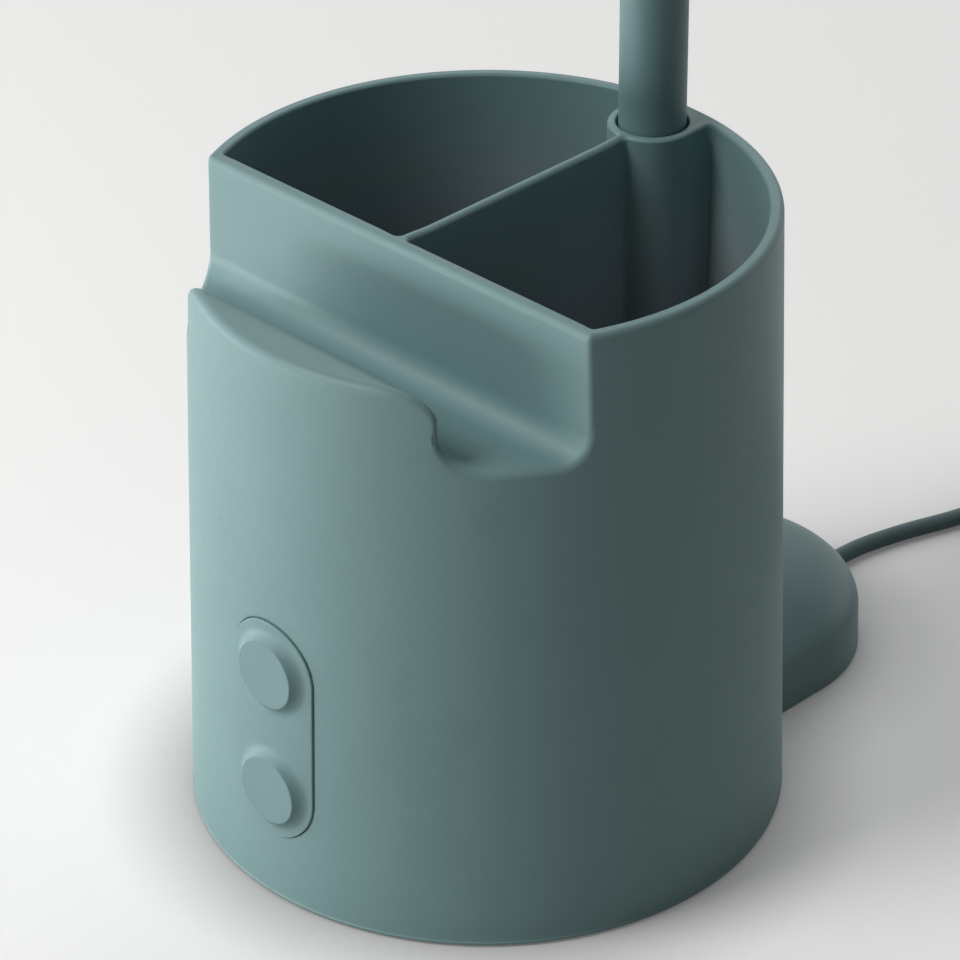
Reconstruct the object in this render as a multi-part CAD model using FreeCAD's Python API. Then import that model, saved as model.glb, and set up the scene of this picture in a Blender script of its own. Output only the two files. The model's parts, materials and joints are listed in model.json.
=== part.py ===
import FreeCAD, Part

import math
import os

from FreeCAD import Vector

# A small desk lamp whose base is a round pen cup with a phone trough.
# Frame: origin on the cup's axis at the table, +Z up, the front faces -Y, the stem stands at +Y.

# ---- Driving dimensions (mm) ----

# Cup
CUP_HEIGHT = 127.5
RIM_RADIUS = 55.0
DRAFT = 3.5                 # how much wider the cup is at the table than at the rim
WALL = 2.6
RIM_ROUND = 1.0
SKIRT_GAP = 0.4             # table to the lower edge of the skirt
FLOOR_TOP = 30.0            # floor of the two compartments
FLOOR_THICKNESS = 2.5
CORNER_ROUND = 1.2          # upright corners inside the compartments
DIVIDER_THICKNESS = 2.1
DIVIDER_DROP = 0.6          # rim to the divider's top

# Phone trough
LIP_INSET = 11.2            # rim's outside to the lip's inner face
TROUGH_DEPTH = 25.2         # rim to trough floor
TROUGH_WIDTH = 19.1         # front wall to the lip's inner face
LIP_DROP = 10.3             # rim to the lip's top
TROUGH_WALL_FILLET = 5.0
TROUGH_LIP_FILLET = 6.0
LIP_ROUND = 5.5
MOUTH_ROUND = 1.0           # where trough and lip meet the outside of the cup

# Heel
HEEL_HALF_WIDTH = 28.1
HEEL_BEHIND = 13.7          # rim's outside to the centre of the heel's round end
HEEL_SKIRT = 9.1
HEEL_DOME = 14.9
HEEL_WALL = 2.4

# Stem, socket and bushes
STEM_INSET = 9.9            # rim's outside to the stem's axis
STEM_DIAMETER = 13.0
STEM_WALL = 1.0
STEM_GAP = 0.5              # stem to socket bore, all round
SOCKET_WALL = 1.6
SOCKET_BELOW_FLOOR = 1.0
BUSH_LENGTH = 20.0
BUSH_DROP = 3.0             # rim to the upper bush
RUN = 0.05                  # running clearance on a radius
ARM_HEIGHT = 390.0          # axis of the level arm
ARM_BEND = 60.0
ARM_REACH = 97.1            # stem axis to the end of the tube

# Stem collar, washers and stop
COLLAR_RADIUS = 9.6
THRUST_WASHER = 1.0
FRICTION_WASHER = 1.1
WASHER_BORE = 4.0
LUG_REACH = 13.5
LUG_WIDTH = 3.4
LUG_HEIGHT = 3.0
STOP_RADIUS = 1.5
STOP_OFFSET = 12.4          # stem axis to the stop post

# Base
PAD_THICKNESS = 1.2
PAD_INSET = 1.2             # base plate's edge to the pad's edge
PLATE_THICKNESS = 2.0
PLATE_GAP = 0.3
BLIND_FLOOR = 0.4           # left under a blind screw hole
BALLAST_INSET = 11.5        # foot radius less the ballast's
BALLAST_THICKNESS = 12.0
BOARD_ROOM = 14.1           # control board to the flat front of the ballast
BASE_SCREW_INSET = 16.5     # foot radius less that of the circle of the cup's own screws
BASE_SCREW_ANGLES = (-22.0, 38.0, 142.0, 202.0)
HEEL_SCREW_X = 17.0
HEEL_SCREW_AHEAD = 6.0      # centre of the heel's round end to its screws
BALLAST_SCREW_PLACES = ((-24.0, -24.0), (24.0, -24.0), (-22.0, 12.0), (22.0, 12.0))
BOSS_RADIUS = 3.6
BASE_THREAD = 1.45          # screw shank radius
THREAD_CLEARANCE = 0.05
SCREW_LENGTH = 12.0
SCREW_HEAD_RADIUS = 2.8
SCREW_HEAD_HEIGHT = 1.4
HEAD_CLEARANCE = 0.1
SHANK_CLEARANCE = 0.2

# Key plate and buttons
PILL_HALF_WIDTH = 10.7
PILL_LOW = 24.1             # height of the pill's lower end centre
PILL_HIGH = 49.8
PILL_GAP = 0.15
SEAT_SINK = 6.2             # foot radius to the flat back of the key plate
SEAT_MARGIN = 4.2
FLANGE_MARGIN = 2.2
FLANGE_THICKNESS = 1.0
BUTTON_RADIUS = 7.0
BUTTON_GAP = 0.1
BUTTON_RISE = 2.0           # button face above the plate
BUTTON_EDGE = 0.4
BUTTON_RAISE = 0.5          # lower button centre above the centre of its end of the pill
BUTTON_PITCH = 25.0         # lower button to upper button
COLLAR_BASE = 9.7           # radius where a button's collar runs out on the plate
COLLAR_DROP = 0.15          # button face to the top of its collar
COLLAR_SINK = 1.0           # how far the collar's foot lies behind the plate's crown
COLLAR_SAG = 0.35           # hollow of the collar's side
COLLAR_EDGE = 0.3           # flat top of the collar
CAP_FLANGE = 1.3
CAP_FLANGE_THICKNESS = 1.0

# Control board
BOARD_HALF_WIDTH = 20.0
BOARD_LOW = 15.5
BOARD_HIGH = 58.5
BOARD_THICKNESS = 1.6
SWITCH_SIZE = 6.0
SWITCH_DEPTH = 3.2
SWITCH_FLOOR = 0.4
PLUNGER_RADIUS = 1.6
PLUNGER_RISE = 1.0
PLUNGER_HIDDEN = 1.4
BOARD_SCREW_X = 16.6
BOARD_SCREW_INSET = 5.0
BOARD_BOSS_RADIUS = 2.7
BOARD_THREAD = 1.1
BOARD_SCREW_LENGTH = 6.0
SMALL_HEAD_RADIUS = 2.0
SMALL_HEAD_HEIGHT = 1.4
CONNECTOR_WIDTH = 7.0
CONNECTOR_DEPTH = 5.0
CONNECTOR_HEIGHT = 5.5
CONNECTOR_ROOF = 1.5
CONNECTOR_X = 8.0
CHIP_SIZES = ((-10.0, 47.0, 6.0, 5.0, 1.6), (0.0, 47.0, 5.0, 5.0, 2.4), (9.0, 46.0, 3.2, 1.6, 1.0),
              (-9.0, 37.0, 3.2, 1.6, 1.0), (0.0, 36.0, 8.0, 8.0, 4.0), (10.0, 37.0, 4.0, 4.0, 1.8))

# Cord and its fittings
CORD_DIAMETER = 3.6
CORD_Z = 4.2                # height at which the cord leaves the heel
INNER_CORD_Z = 5.8          # height of the cord over the base plate
GROMMET_WALL = 0.6
GROMMET_FLANGE = 2.9
GROMMET_FLANGE_THICKNESS = 1.7
GROMMET_SEAT = 0.3          # flange to the heel's curved wall
NOTCH_LENGTH = 8.0          # of the base plate under the grommet
NOTCH_MARGIN = 1.0
RELIEF_LENGTH = 8.0
RELIEF_TIP = 2.3
RELIEF_END = 1.0            # length of the strain relief that is moulded onto the cord
CLAMP_BEHIND = 9.3          # centre of the heel's round end to the clamp
CLAMP_LENGTH = 7.0
CLAMP_WIDTH = 17.0
CLAMP_ROOF = 2.0
CLAMP_SCREW_X = 5.6
CLAMP_HEAD_RADIUS = 2.6
CLAMP_HEAD_HEIGHT = 1.6
CLAMP_SCREW_END = 0.6       # clamp screw's tip above the base plate's underside
CORD_RISE = (12.0, 6.8)     # clamp to the cord's two bends where it rises over the base plate
CORD_TURN = (5.6, 2.0, 1.5)  # last bends of the cord at its connector: X, distance behind it, rise
CORD_UPRIGHT = 6.0
LEAD_DIAMETER = 2.4
LEAD_DEPTH = 3.0            # ballast top to the top of the lead in its groove
LEAD_TURN = (5.6, 3.0, 0.6)
LEAD_UPRIGHT = 4.0
CHANNEL_CLEARANCE = 0.5
CHANNEL_SIDE = 0.9          # clearance each side of a cord, which bends as it leaves its channel
COIL_TURNS_WIDE = 5
COIL_TURNS_HIGH = 2
COIL_MEAN_RADIUS = 21.0
TIE_WIDTH = 6.0
TIE_THICKNESS = 0.6
PLUG_LENGTH = 26.0
PLUG_WIDTH = 15.0
PLUG_THICKNESS = 8.0
PLUG_ROUND = 2.5
SHELL_SEAT = 3.0            # depth of the shell in the plug's body
SHELL_WIDTH = 12.0
SHELL_HEIGHT = 4.5
SHELL_LENGTH = 12.0
SHELL_SHEET = 0.3
LATCH_X = 2.9               # the shell's two latch holes
LATCH_AHEAD = 4.0
LATCH_LENGTH = 2.2
LATCH_WIDTH = 2.5
TONGUE_BACK = 0.8           # shell's mouth to the tongue
TONGUE_HEIGHT = 1.6
CONTACT_BACK = 1.6
CONTACT_WIDTH = 1.2
CONTACT_LENGTH = 8.0
CONTACT_THICKNESS = 0.15
CONTACT_PITCH = 2.4

# Head
PIVOT_AHEAD = 14.0          # end of the tube to the tilt pin
TIP_INSERT = 12.0
TIP_SHOULDER = 4.0
TONGUE_THICKNESS = 6.0
TONGUE_RADIUS = 5.0
PIN_RADIUS = 2.0
TILT_WASHER = 0.5
TILT_WASHER_RADIUS = 4.5
EAR_THICKNESS = 2.5
PIN_HEAD_RADIUS = 3.6
PIN_HEAD_HEIGHT = 1.8
PIN_BEYOND_NUT = 0.5
PIN_CLEARANCE = 0.02
BRACKET_DROP = 14.0         # tilt pin to the top of the shade
BRACKET_RADIUS = 9.0
BRACKET_BASE = 2.5
BRACKET_SCREW_OFFSET = 6.0
SHADE_RADIUS = 52.0
SHADE_WALL = 2.0
SHADE_SKIRT = 12.0
SHADE_DOME = 24.0
CROWN_SEAT = 0.5            # flat inside the crown stands this far below the dome
LEDGE_WIDTH = 2.0
LEDGE_RISE = 5.5            # shade's lower edge to the top of the ledge
DIFFUSER_THICKNESS = 2.0
RING_WIDTH = 2.4
RING_THICKNESS = 1.3
HEAD_GAP = 0.3
SINK_RADIUS = 45.0
SINK_THICKNESS = 1.5
SINK_RISE = 12.0            # shade's lower edge to the underside of the heat sink
LED_BOARD_RADIUS = 42.0
LED_BOARD_THICKNESS = 1.2
LED_COUNTS = (6, 12)        # chips in each ring
LED_RADII = (15.0, 31.0)
LED_LENGTH = 3.5
LED_WIDTH = 2.8
LED_HEIGHT = 0.8
HEAD_BOSS_OFFSET = 36.5
HEAD_BOSS_RADIUS = 3.5
HEAD_SCREW_BITE = 3.5
WIRE_HOLE = 1.6

# ---- Values that follow ----

FOOT_RADIUS = RIM_RADIUS + DRAFT
CORD_RADIUS = CORD_DIAMETER / 2
LEAD_RADIUS = LEAD_DIAMETER / 2
STEM_RADIUS = STEM_DIAMETER / 2
SOCKET_BORE = STEM_RADIUS + STEM_GAP
SOCKET_RADIUS = SOCKET_BORE + SOCKET_WALL
CAVITY_RADIUS = RIM_RADIUS - WALL
LIP_Y = LIP_INSET - RIM_RADIUS
FRONT_WALL_Y = LIP_Y + TROUGH_WIDTH
CAVITY_FRONT = FRONT_WALL_Y + WALL
STEM_Y = RIM_RADIUS - STEM_INSET
FLOOR_BOTTOM = FLOOR_TOP - FLOOR_THICKNESS
SOCKET_END = FLOOR_BOTTOM - SOCKET_BELOW_FLOOR
TROUGH_FLOOR = CUP_HEIGHT - TROUGH_DEPTH
LIP_TOP = CUP_HEIGHT - LIP_DROP
HEEL_END_Y = RIM_RADIUS + HEEL_BEHIND
PLATE_BOTTOM = PAD_THICKNESS
PLATE_TOP = PLATE_BOTTOM + PLATE_THICKNESS
BALLAST_TOP = PLATE_TOP + BALLAST_THICKNESS
COLLAR_BOTTOM = BALLAST_TOP + THRUST_WASHER
COLLAR_TOP = SOCKET_END - FRICTION_WASHER
PLATE_BACK_Y = SEAT_SINK - FOOT_RADIUS
CAP_BACK_Y = PLATE_BACK_Y + FLANGE_THICKNESS + CAP_FLANGE_THICKNESS
BOARD_Y = CAP_BACK_Y + PLUNGER_RISE + SWITCH_DEPTH
BOARD_BACK_Y = BOARD_Y + BOARD_THICKNESS
BALLAST_FRONT_Y = BOARD_Y + BOARD_ROOM
BALLAST_RADIUS = FOOT_RADIUS - BALLAST_INSET
BASE_SCREW_RADIUS = FOOT_RADIUS - BASE_SCREW_INSET
CLAMP_Y = HEEL_END_Y + CLAMP_BEHIND
RELIEF_END_Y = HEEL_END_Y + HEEL_HALF_WIDTH + RELIEF_LENGTH
LOWER_BUTTON_Z = PILL_LOW + BUTTON_RAISE
BUTTON_HEIGHTS = {"lower": LOWER_BUTTON_Z, "upper": LOWER_BUTTON_Z + BUTTON_PITCH}
ARM_END_Y = STEM_Y - ARM_REACH
PIVOT = Vector(0, ARM_END_Y - PIVOT_AHEAD, ARM_HEIGHT)
SHADE_HEIGHT = SHADE_SKIRT + SHADE_DOME
SHADE_TOP = ARM_HEIGHT - BRACKET_DROP
SHADE_LOW = SHADE_TOP - SHADE_HEIGHT
EAR_INNER = TONGUE_THICKNESS / 2 + TILT_WASHER
EAR_OUTER = EAR_INNER + EAR_THICKNESS
FAR = 500.0                 # longer than anything that a cutting tool has to pass

X_AXIS, Y_AXIS, Z_AXIS = Vector(1, 0, 0), Vector(0, 1, 0), Vector(0, 0, 1)

# Free cord, points chosen by hand: from the tip of the strain relief to the coil's outer turn at its left,
# and from that turn's right side to the back of the plug. The steps in Y are from those two starts.
CORD_STEPS = ((0.0, 0.0, CORD_Z), (0.0, 5.7, CORD_Z), (0.0, 14.7, 3.2), (0.7, 22.7, 2.1),
              (3.0, 30.8, CORD_RADIUS), (6.2, 39.0, CORD_RADIUS), (8.6, 46.0, CORD_RADIUS),
              (9.6, 52.2, CORD_RADIUS))
TAIL_STEPS = ((0.0, 0.0, CORD_RADIUS * 3), (0.0, -6.0, CORD_RADIUS * 3), (1.2, -15.5, PLUG_THICKNESS / 2),
              (1.2, -23.0, PLUG_THICKNESS / 2))
CORD_ROUTE = [Vector(x, RELIEF_END_Y + y, z) for x, y, z in CORD_STEPS]
COIL_HEIGHT = CORD_DIAMETER * COIL_TURNS_HIGH
COIL_OUTER = COIL_MEAN_RADIUS + CORD_DIAMETER * COIL_TURNS_WIDE / 2
COIL_INNER = COIL_MEAN_RADIUS - CORD_DIAMETER * COIL_TURNS_WIDE / 2
OUTER_TURN = COIL_OUTER - CORD_RADIUS
COIL_CENTRE = CORD_ROUTE[-1] + Vector(OUTER_TURN, 0, 0)
TAIL_ROUTE = [Vector(COIL_CENTRE.x + OUTER_TURN + x, COIL_CENTRE.y + y, z) for x, y, z in TAIL_STEPS]
PLUG_END = TAIL_ROUTE[-1]


# ---- Helpers ----

def export(name, shape):
    """Write one sub-part and say how many solids and how much volume it holds."""
    if not shape.isValid():
        print("WARNING: not valid:", name)
    shape.exportStep("parts/" + name + ".step")
    print("%-20s solids %2d  volume %10.1f mm3" % (name, len(shape.Solids), shape.Volume))


def fused(shapes):
    """One solid from several that touch or overlap."""
    return shapes[0].fuse(shapes[1:]).removeSplitter()


def group(shapes):
    """Several separate solids in one sub-part."""
    return Part.makeCompound(shapes)


def rod(radius, start, end):
    """Solid cylinder from one point to another."""
    start, end = Vector(*start), Vector(*end)
    return Part.makeCylinder(radius, (end - start).Length, start, end - start)


def disc(radius, low, high, x=0.0, y=0.0):
    """Upright cylinder between two heights."""
    return Part.makeCylinder(radius, high - low, Vector(x, y, low))


def ring(outer, inner, low, high, x=0.0, y=0.0):
    """Upright tube between two heights."""
    return disc(outer, low, high, x, y).cut(disc(inner, low - 1, high + 1, x, y))


def block(low, high):
    """Box from its lowest corner to its highest."""
    size = [b - a for a, b in zip(low, high)]
    return Part.makeBox(size[0], size[1], size[2], Vector(*low))


def cup_radius(z):
    """Outer radius of the drafted cup at a height."""
    return FOOT_RADIUS + (RIM_RADIUS - FOOT_RADIUS) * z / CUP_HEIGHT


def cup_cone(inset, low, high):
    """The cup's drafted outside, moved inwards by a wall, between two heights."""
    return Part.makeCone(cup_radius(low) - inset, cup_radius(high) - inset, high - low, Vector(0, 0, low))


def outline(points):
    """Closed face from corner points and (through, end) pairs for arcs."""
    edges = []
    here = Vector(*points[0])
    for step in points[1:] + [points[0]]:
        if isinstance(step[0], tuple):
            through, end = Vector(*step[0]), Vector(*step[1])
            edges.append(Part.Arc(here, through, end).toShape())
        else:
            end = Vector(*step)
            edges.append(Part.LineSegment(here, end).toShape())
        here = end
    return Part.Face(Part.Wire(edges))


def tangent_path(points):
    """Straight runs joined by the largest tangent arcs that their lengths allow, with the arcs' radii."""
    points = [Vector(*p) for p in points]
    edges, radii, here = [], [], points[0]
    for before, corner, after in zip(points, points[1:], points[2:]):
        run_in, run_out = corner - before, after - corner
        half_turn = run_in.getAngle(run_out) / 2
        setback = 0.45 * min(run_in.Length, run_out.Length)
        radii.append(setback / math.tan(half_turn))
        inward, outward = Vector(run_in).normalize(), Vector(run_out).normalize()
        start, end = corner - inward * setback, corner + outward * setback
        to_centre = (outward - inward).normalize()
        centre = corner + to_centre * (radii[-1] / math.cos(half_turn))
        middle = centre - to_centre * radii[-1]
        edges.append(Part.LineSegment(here, start).toShape())
        edges.append(Part.Arc(start, middle, end).toShape())
        here = end
    edges.append(Part.LineSegment(here, points[-1]).toShape())
    return Part.Wire(edges), radii


def tube_along(label, points, radius):
    """Round cord along a route, with a note of its bends and of its volume against section times length."""
    path, radii = tangent_path(points)
    direction = Vector(*points[1]) - Vector(*points[0])
    section = Part.Wire(Part.makeCircle(radius, Vector(*points[0]), direction))
    solid = path.makePipeShell([section], True, False)
    expected = math.pi * radius ** 2 * path.Length
    print("%s: length %.1f, smallest bend %.1f, bends %s, volume ratio %.4f" % (
        label, path.Length, min(radii), [round(r) for r in radii], solid.Volume / expected))
    return solid


def screw(thread, length, head_radius, head_height, tip, direction, countersunk=False):
    """Screw with its head's outer face at tip, pointing along direction."""
    tip, direction = Vector(*tip), Vector(*direction)
    under = tip + direction * head_height
    if countersunk:
        head = Part.makeCone(head_radius, thread, head_height, tip, direction)
    else:
        head = Part.makeCylinder(head_radius, head_height, tip, direction)
    shank = Part.makeCylinder(thread, length - head_height, under, direction)
    slot_depth = head_height * 0.5
    recess = Part.makeCylinder(thread * 0.6, slot_depth, tip, direction)
    return head.fuse(shank).cut(recess)


def arched_face(centre, half_width, rise, low, turn):
    """Upright face from a height up to an elliptical arch, a quarter of it or a half."""
    ellipse = Part.Ellipse(centre + Vector(half_width, 0, 0), centre + Vector(0, 0, rise), centre)
    arc = Part.ArcOfEllipse(ellipse, 0, turn).toShape()
    start, end = arc.valueAt(arc.FirstParameter), arc.valueAt(arc.LastParameter)
    corners = [end, Vector(end.x, end.y, low), Vector(start.x, start.y, low), start]
    lines = [Part.LineSegment(p, q).toShape() for p, q in zip(corners, corners[1:])]
    return Part.Face(Part.Wire([arc] + lines))


def dome(half_width, skirt, rise, end_y, start_y, low=0.0):
    """Low round-ended dome: a half-ellipse over an upright skirt, drawn along Y and turned round its end."""
    centre = Vector(0, end_y, low + skirt)
    end = arched_face(centre, half_width, rise, low, math.pi / 2).revolve(centre, Z_AXIS, 180)
    run = arched_face(centre, half_width, rise, low, math.pi).extrude(Vector(0, start_y - end_y, 0))
    return end.fuse(run)


def pill(half_width, low, high, front, back):
    """Upright round-ended plate between two Y faces, with its end centres at two heights."""
    slab = block((-half_width, front, low), (half_width, back, high))
    ends = [rod(half_width, (0, front, z), (0, back, z)) for z in (low, high)]
    return fused([slab] + ends)


def edges_where(shape, test):
    """Edges whose middle point passes a test."""
    chosen = []
    for edge in shape.Edges:
        middle = edge.valueAt((edge.FirstParameter + edge.LastParameter) / 2)
        if test(middle):
            chosen.append(edge)
    return chosen


# ---- Cup ----

def base_boss_places():
    """Where the base screws stand: on a circle under the floor, and a pair in the heel."""
    places = []
    for angle in BASE_SCREW_ANGLES:
        turn = math.radians(angle)
        places.append((BASE_SCREW_RADIUS * math.cos(turn), BASE_SCREW_RADIUS * math.sin(turn)))
    heel_y = HEEL_END_Y - HEEL_SCREW_AHEAD
    return places + [(-HEEL_SCREW_X, heel_y), (HEEL_SCREW_X, heel_y)]


def board_screw_places():
    """X and Z of the four board screws."""
    heights = (BOARD_LOW + BOARD_SCREW_INSET, BOARD_HIGH - BOARD_SCREW_INSET)
    return [(x, z) for x in (-BOARD_SCREW_X, BOARD_SCREW_X) for z in heights]


def trough_tool():
    """Everything above the trough and the lip, in front of the flat wall."""
    wall, lip, floor = FRONT_WALL_Y, LIP_Y, TROUGH_FLOOR
    above, ahead = CUP_HEIGHT + WALL, -FOOT_RADIUS - WALL
    turn = math.sqrt(0.5)

    def at(y, z):
        return (-FAR / 2, y, z)

    near, far, top = TROUGH_WALL_FILLET, TROUGH_LIP_FILLET, LIP_ROUND
    near_middle = at(wall - near + near * turn, floor + near - near * turn)
    far_middle = at(lip + far - far * turn, floor + far - far * turn)
    top_middle = at(lip - top + top * turn, LIP_TOP - top + top * turn)
    points = [
        at(wall, above),
        at(wall, floor + near), (near_middle, at(wall - near, floor)),
        at(lip + far, floor), (far_middle, at(lip, floor + far)),
        at(lip, LIP_TOP - top), (top_middle, at(lip - top, LIP_TOP)),
        at(ahead, LIP_TOP), at(ahead, above),
    ]
    return outline(points).extrude(Vector(FAR, 0, 0))


def compartment_tool():
    """The D-shaped hollow behind the front wall, less the stem's socket, with rounded upright corners."""
    top = CUP_HEIGHT + WALL
    hollow = disc(CAVITY_RADIUS, FLOOR_TOP, top)
    hollow = hollow.common(block((-FAR, CAVITY_FRONT, 0), (FAR, FAR, FAR)))
    socket = fused([
        disc(SOCKET_RADIUS, 0, FAR, 0, STEM_Y),
        block((-SOCKET_RADIUS, STEM_Y, 0), (SOCKET_RADIUS, RIM_RADIUS, FAR)),
    ])
    hollow = hollow.cut(socket)

    def corner(p):
        upright = abs(p.z - (FLOOR_TOP + top) / 2) < 0.1
        on_wall = abs(math.hypot(p.x, p.y) - CAVITY_RADIUS) < 0.01
        return upright and on_wall and abs(p.y) > 1

    return hollow.makeFillet(CORNER_ROUND, edges_where(hollow, corner))


def front_bay():
    """Room for the electronics under the trough and the lip."""
    wall, lip = FRONT_WALL_Y, LIP_Y - WALL
    under_floor, under_lip = TROUGH_FLOOR - WALL, LIP_TOP - WALL
    ahead = -FOOT_RADIUS - WALL
    points = [(-FAR / 2, y, z) for y, z in (
        (wall, 0), (wall, under_floor), (lip, under_floor), (lip, under_lip), (ahead, under_lip), (ahead, 0))]
    bay = outline(points).extrude(Vector(FAR, 0, 0))
    return bay.common(cup_cone(WALL, 0, CUP_HEIGHT))


def divider():
    """Thin round-topped wall between the compartments, from the front wall to the socket."""
    half = DIVIDER_THICKNESS / 2
    start, end = CAVITY_FRONT - WALL / 2, STEM_Y - SOCKET_RADIUS + SOCKET_WALL / 2
    shoulder = CUP_HEIGHT - DIVIDER_DROP - half
    low = FLOOR_TOP - FLOOR_THICKNESS / 2
    points = [(-half, start, low), (half, start, low), (half, start, shoulder),
              ((0, start, shoulder + half), (-half, start, shoulder))]
    return outline(points).extrude(Vector(0, end - start, 0))


def key_seat():
    """Flat-backed thickening of the wall round the key plate, and the board's bosses."""
    outside = cup_cone(WALL / 2, SKIRT_GAP, CUP_HEIGHT)
    reach = PILL_HALF_WIDTH + SEAT_MARGIN
    low, high = PILL_LOW - reach, PILL_HIGH + reach
    seat = block((-reach, -FAR, low), (reach, PLATE_BACK_Y, high)).common(outside)
    bosses = []
    for x, z in board_screw_places():
        boss = rod(BOARD_BOSS_RADIUS, (x, -FAR, z), (x, BOARD_Y, z))
        bosses.append(boss.common(outside))
    return [seat] + bosses


def cup_body():
    """Shell, trough, compartments, socket and heel: one moulding, open underneath."""
    body = cup_cone(0, SKIRT_GAP, CUP_HEIGHT)
    body = body.fuse(dome(HEEL_HALF_WIDTH, HEEL_SKIRT - SKIRT_GAP, HEEL_DOME, HEEL_END_Y, STEM_Y, SKIRT_GAP))
    body = body.cut(trough_tool())

    def mouth(p):
        on_cup = abs(math.hypot(p.x, p.y) - cup_radius(p.z)) < 0.01
        return on_cup and p.y < FRONT_WALL_Y + 0.01 and p.z > TROUGH_FLOOR - 0.01

    body = body.makeFillet(MOUTH_ROUND, edges_where(body, mouth))
    body = body.cut(compartment_tool())
    body = body.makeFillet(RIM_ROUND, edges_where(body, lambda p: abs(p.z - CUP_HEIGHT) < 0.001))

    chamber = cup_cone(WALL, 0, FLOOR_BOTTOM)
    heel_room = dome(HEEL_HALF_WIDTH - HEEL_WALL, HEEL_SKIRT, HEEL_DOME - HEEL_WALL, HEEL_END_Y, STEM_Y)
    body = body.cut(fused([chamber, heel_room, front_bay()]))

    socket_foot = disc(SOCKET_RADIUS, SOCKET_END, FLOOR_TOP, 0, STEM_Y)
    stop_y = STEM_Y - STOP_OFFSET
    stop = disc(STOP_RADIUS, COLLAR_BOTTOM, FLOOR_BOTTOM + FLOOR_THICKNESS / 2, 0, stop_y)
    half_wall = HEEL_WALL / 2
    heel_core = dome(HEEL_HALF_WIDTH - half_wall, HEEL_SKIRT, HEEL_DOME - half_wall, HEEL_END_Y, STEM_Y)
    bosses = []
    for x, y in base_boss_places():
        boss = disc(BOSS_RADIUS, PLATE_TOP, FLOOR_BOTTOM + FLOOR_THICKNESS / 2, x, y)
        bosses.append(boss.common(heel_core) if y > CAVITY_RADIUS else boss)
    body = body.fuse([divider(), socket_foot, stop] + bosses + key_seat())

    holes = [disc(SOCKET_BORE, 0, FAR, 0, STEM_Y)]
    hole = BASE_THREAD + THREAD_CLEARANCE
    holes += [disc(hole, 0, PLATE_BOTTOM + SCREW_LENGTH + 1, x, y) for x, y in base_boss_places()]
    hole = BOARD_THREAD + THREAD_CLEARANCE
    depth = BOARD_SCREW_LENGTH - BOARD_THICKNESS
    holes += [rod(hole, (x, BOARD_Y - depth, z), (x, 0, z)) for x, z in board_screw_places()]
    holes.append(pill(PILL_HALF_WIDTH + PILL_GAP, PILL_LOW, PILL_HIGH, -FAR, PLATE_BACK_Y + 1))
    grommet_hole = CORD_RADIUS + RUN + GROMMET_WALL + RUN
    holes.append(rod(grommet_hole, (0, HEEL_END_Y, CORD_Z), (0, FAR, CORD_Z)))
    return body.cut(holes)


# ---- Base ----

def base_outline(inset, low, high):
    """The underside's outline, a circle and the heel, moved in from the skirt's inner face."""
    circle = disc(cup_radius(PLATE_TOP) - WALL - inset, low, high)
    half = HEEL_HALF_WIDTH - HEEL_WALL - inset
    heel = [block((-half, 0, low), (half, HEEL_END_Y, high)), disc(half, low, high, 0, HEEL_END_Y)]
    return fused([circle] + heel)


def base_plate():
    plate = base_outline(PLATE_GAP, PLATE_BOTTOM, PLATE_TOP)
    inner_end = HEEL_END_Y + HEEL_HALF_WIDTH - HEEL_WALL
    notch = GROMMET_FLANGE + NOTCH_MARGIN
    holes = [block((-notch, inner_end - NOTCH_LENGTH, 0), (notch, FAR, FAR))]
    for x, y in base_boss_places() + list(BALLAST_SCREW_PLACES):
        holes.append(disc(BASE_THREAD + SHANK_CLEARANCE, 0, FAR, x, y))
        wide, narrow = SCREW_HEAD_RADIUS + HEAD_CLEARANCE, BASE_THREAD + HEAD_CLEARANCE
        sink = SCREW_HEAD_HEIGHT + HEAD_CLEARANCE
        holes.append(Part.makeCone(wide, narrow, sink, Vector(x, y, PLATE_BOTTOM)))
    hole = BASE_THREAD + THREAD_CLEARANCE
    low = PLATE_BOTTOM + BLIND_FLOOR
    holes += [disc(hole, low, FAR, x, CLAMP_Y) for x in (-CLAMP_SCREW_X, CLAMP_SCREW_X)]
    return plate.cut(holes)


def non_slip_pad():
    return base_outline(PLATE_GAP + PAD_INSET, 0, PAD_THICKNESS)


def upright_screws(places):
    """Countersunk screws that go up through the base plate."""
    return group([screw(BASE_THREAD, SCREW_LENGTH, SCREW_HEAD_RADIUS, SCREW_HEAD_HEIGHT, (x, y, PLATE_BOTTOM),
                        (0, 0, 1), countersunk=True) for x, y in places])


def ballast_weight():
    weight = disc(BALLAST_RADIUS, PLATE_TOP, BALLAST_TOP)
    weight = weight.common(block((-FAR, BALLAST_FRONT_Y, 0), (FAR, FAR, FAR)))
    cuts = [disc(BOSS_RADIUS + 0.6, 0, FAR, x, y) for x, y in base_boss_places()]
    cuts += [disc(BASE_THREAD + THREAD_CLEARANCE, 0, PLATE_BOTTOM + SCREW_LENGTH + 1, x, y)
             for x, y in BALLAST_SCREW_PLACES]
    side, top = CORD_RADIUS + CHANNEL_SIDE, INNER_CORD_Z + CORD_RADIUS + CHANNEL_CLEARANCE
    cuts.append(block((-side, -FAR, 0), (side, FAR, top)))
    side, low = LEAD_RADIUS + CHANNEL_SIDE, lead_height() - LEAD_RADIUS - CHANNEL_CLEARANCE
    cuts.append(block((-side, -FAR, low), (side, STEM_Y, FAR)))
    cuts.append(disc(WASHER_BORE, low, FAR, 0, STEM_Y))
    return weight.cut(cuts)


# ---- Stem seat ----

def bush(low):
    return ring(SOCKET_BORE - RUN / 2, STEM_RADIUS + RUN, low, low + BUSH_LENGTH, 0, STEM_Y)


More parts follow.
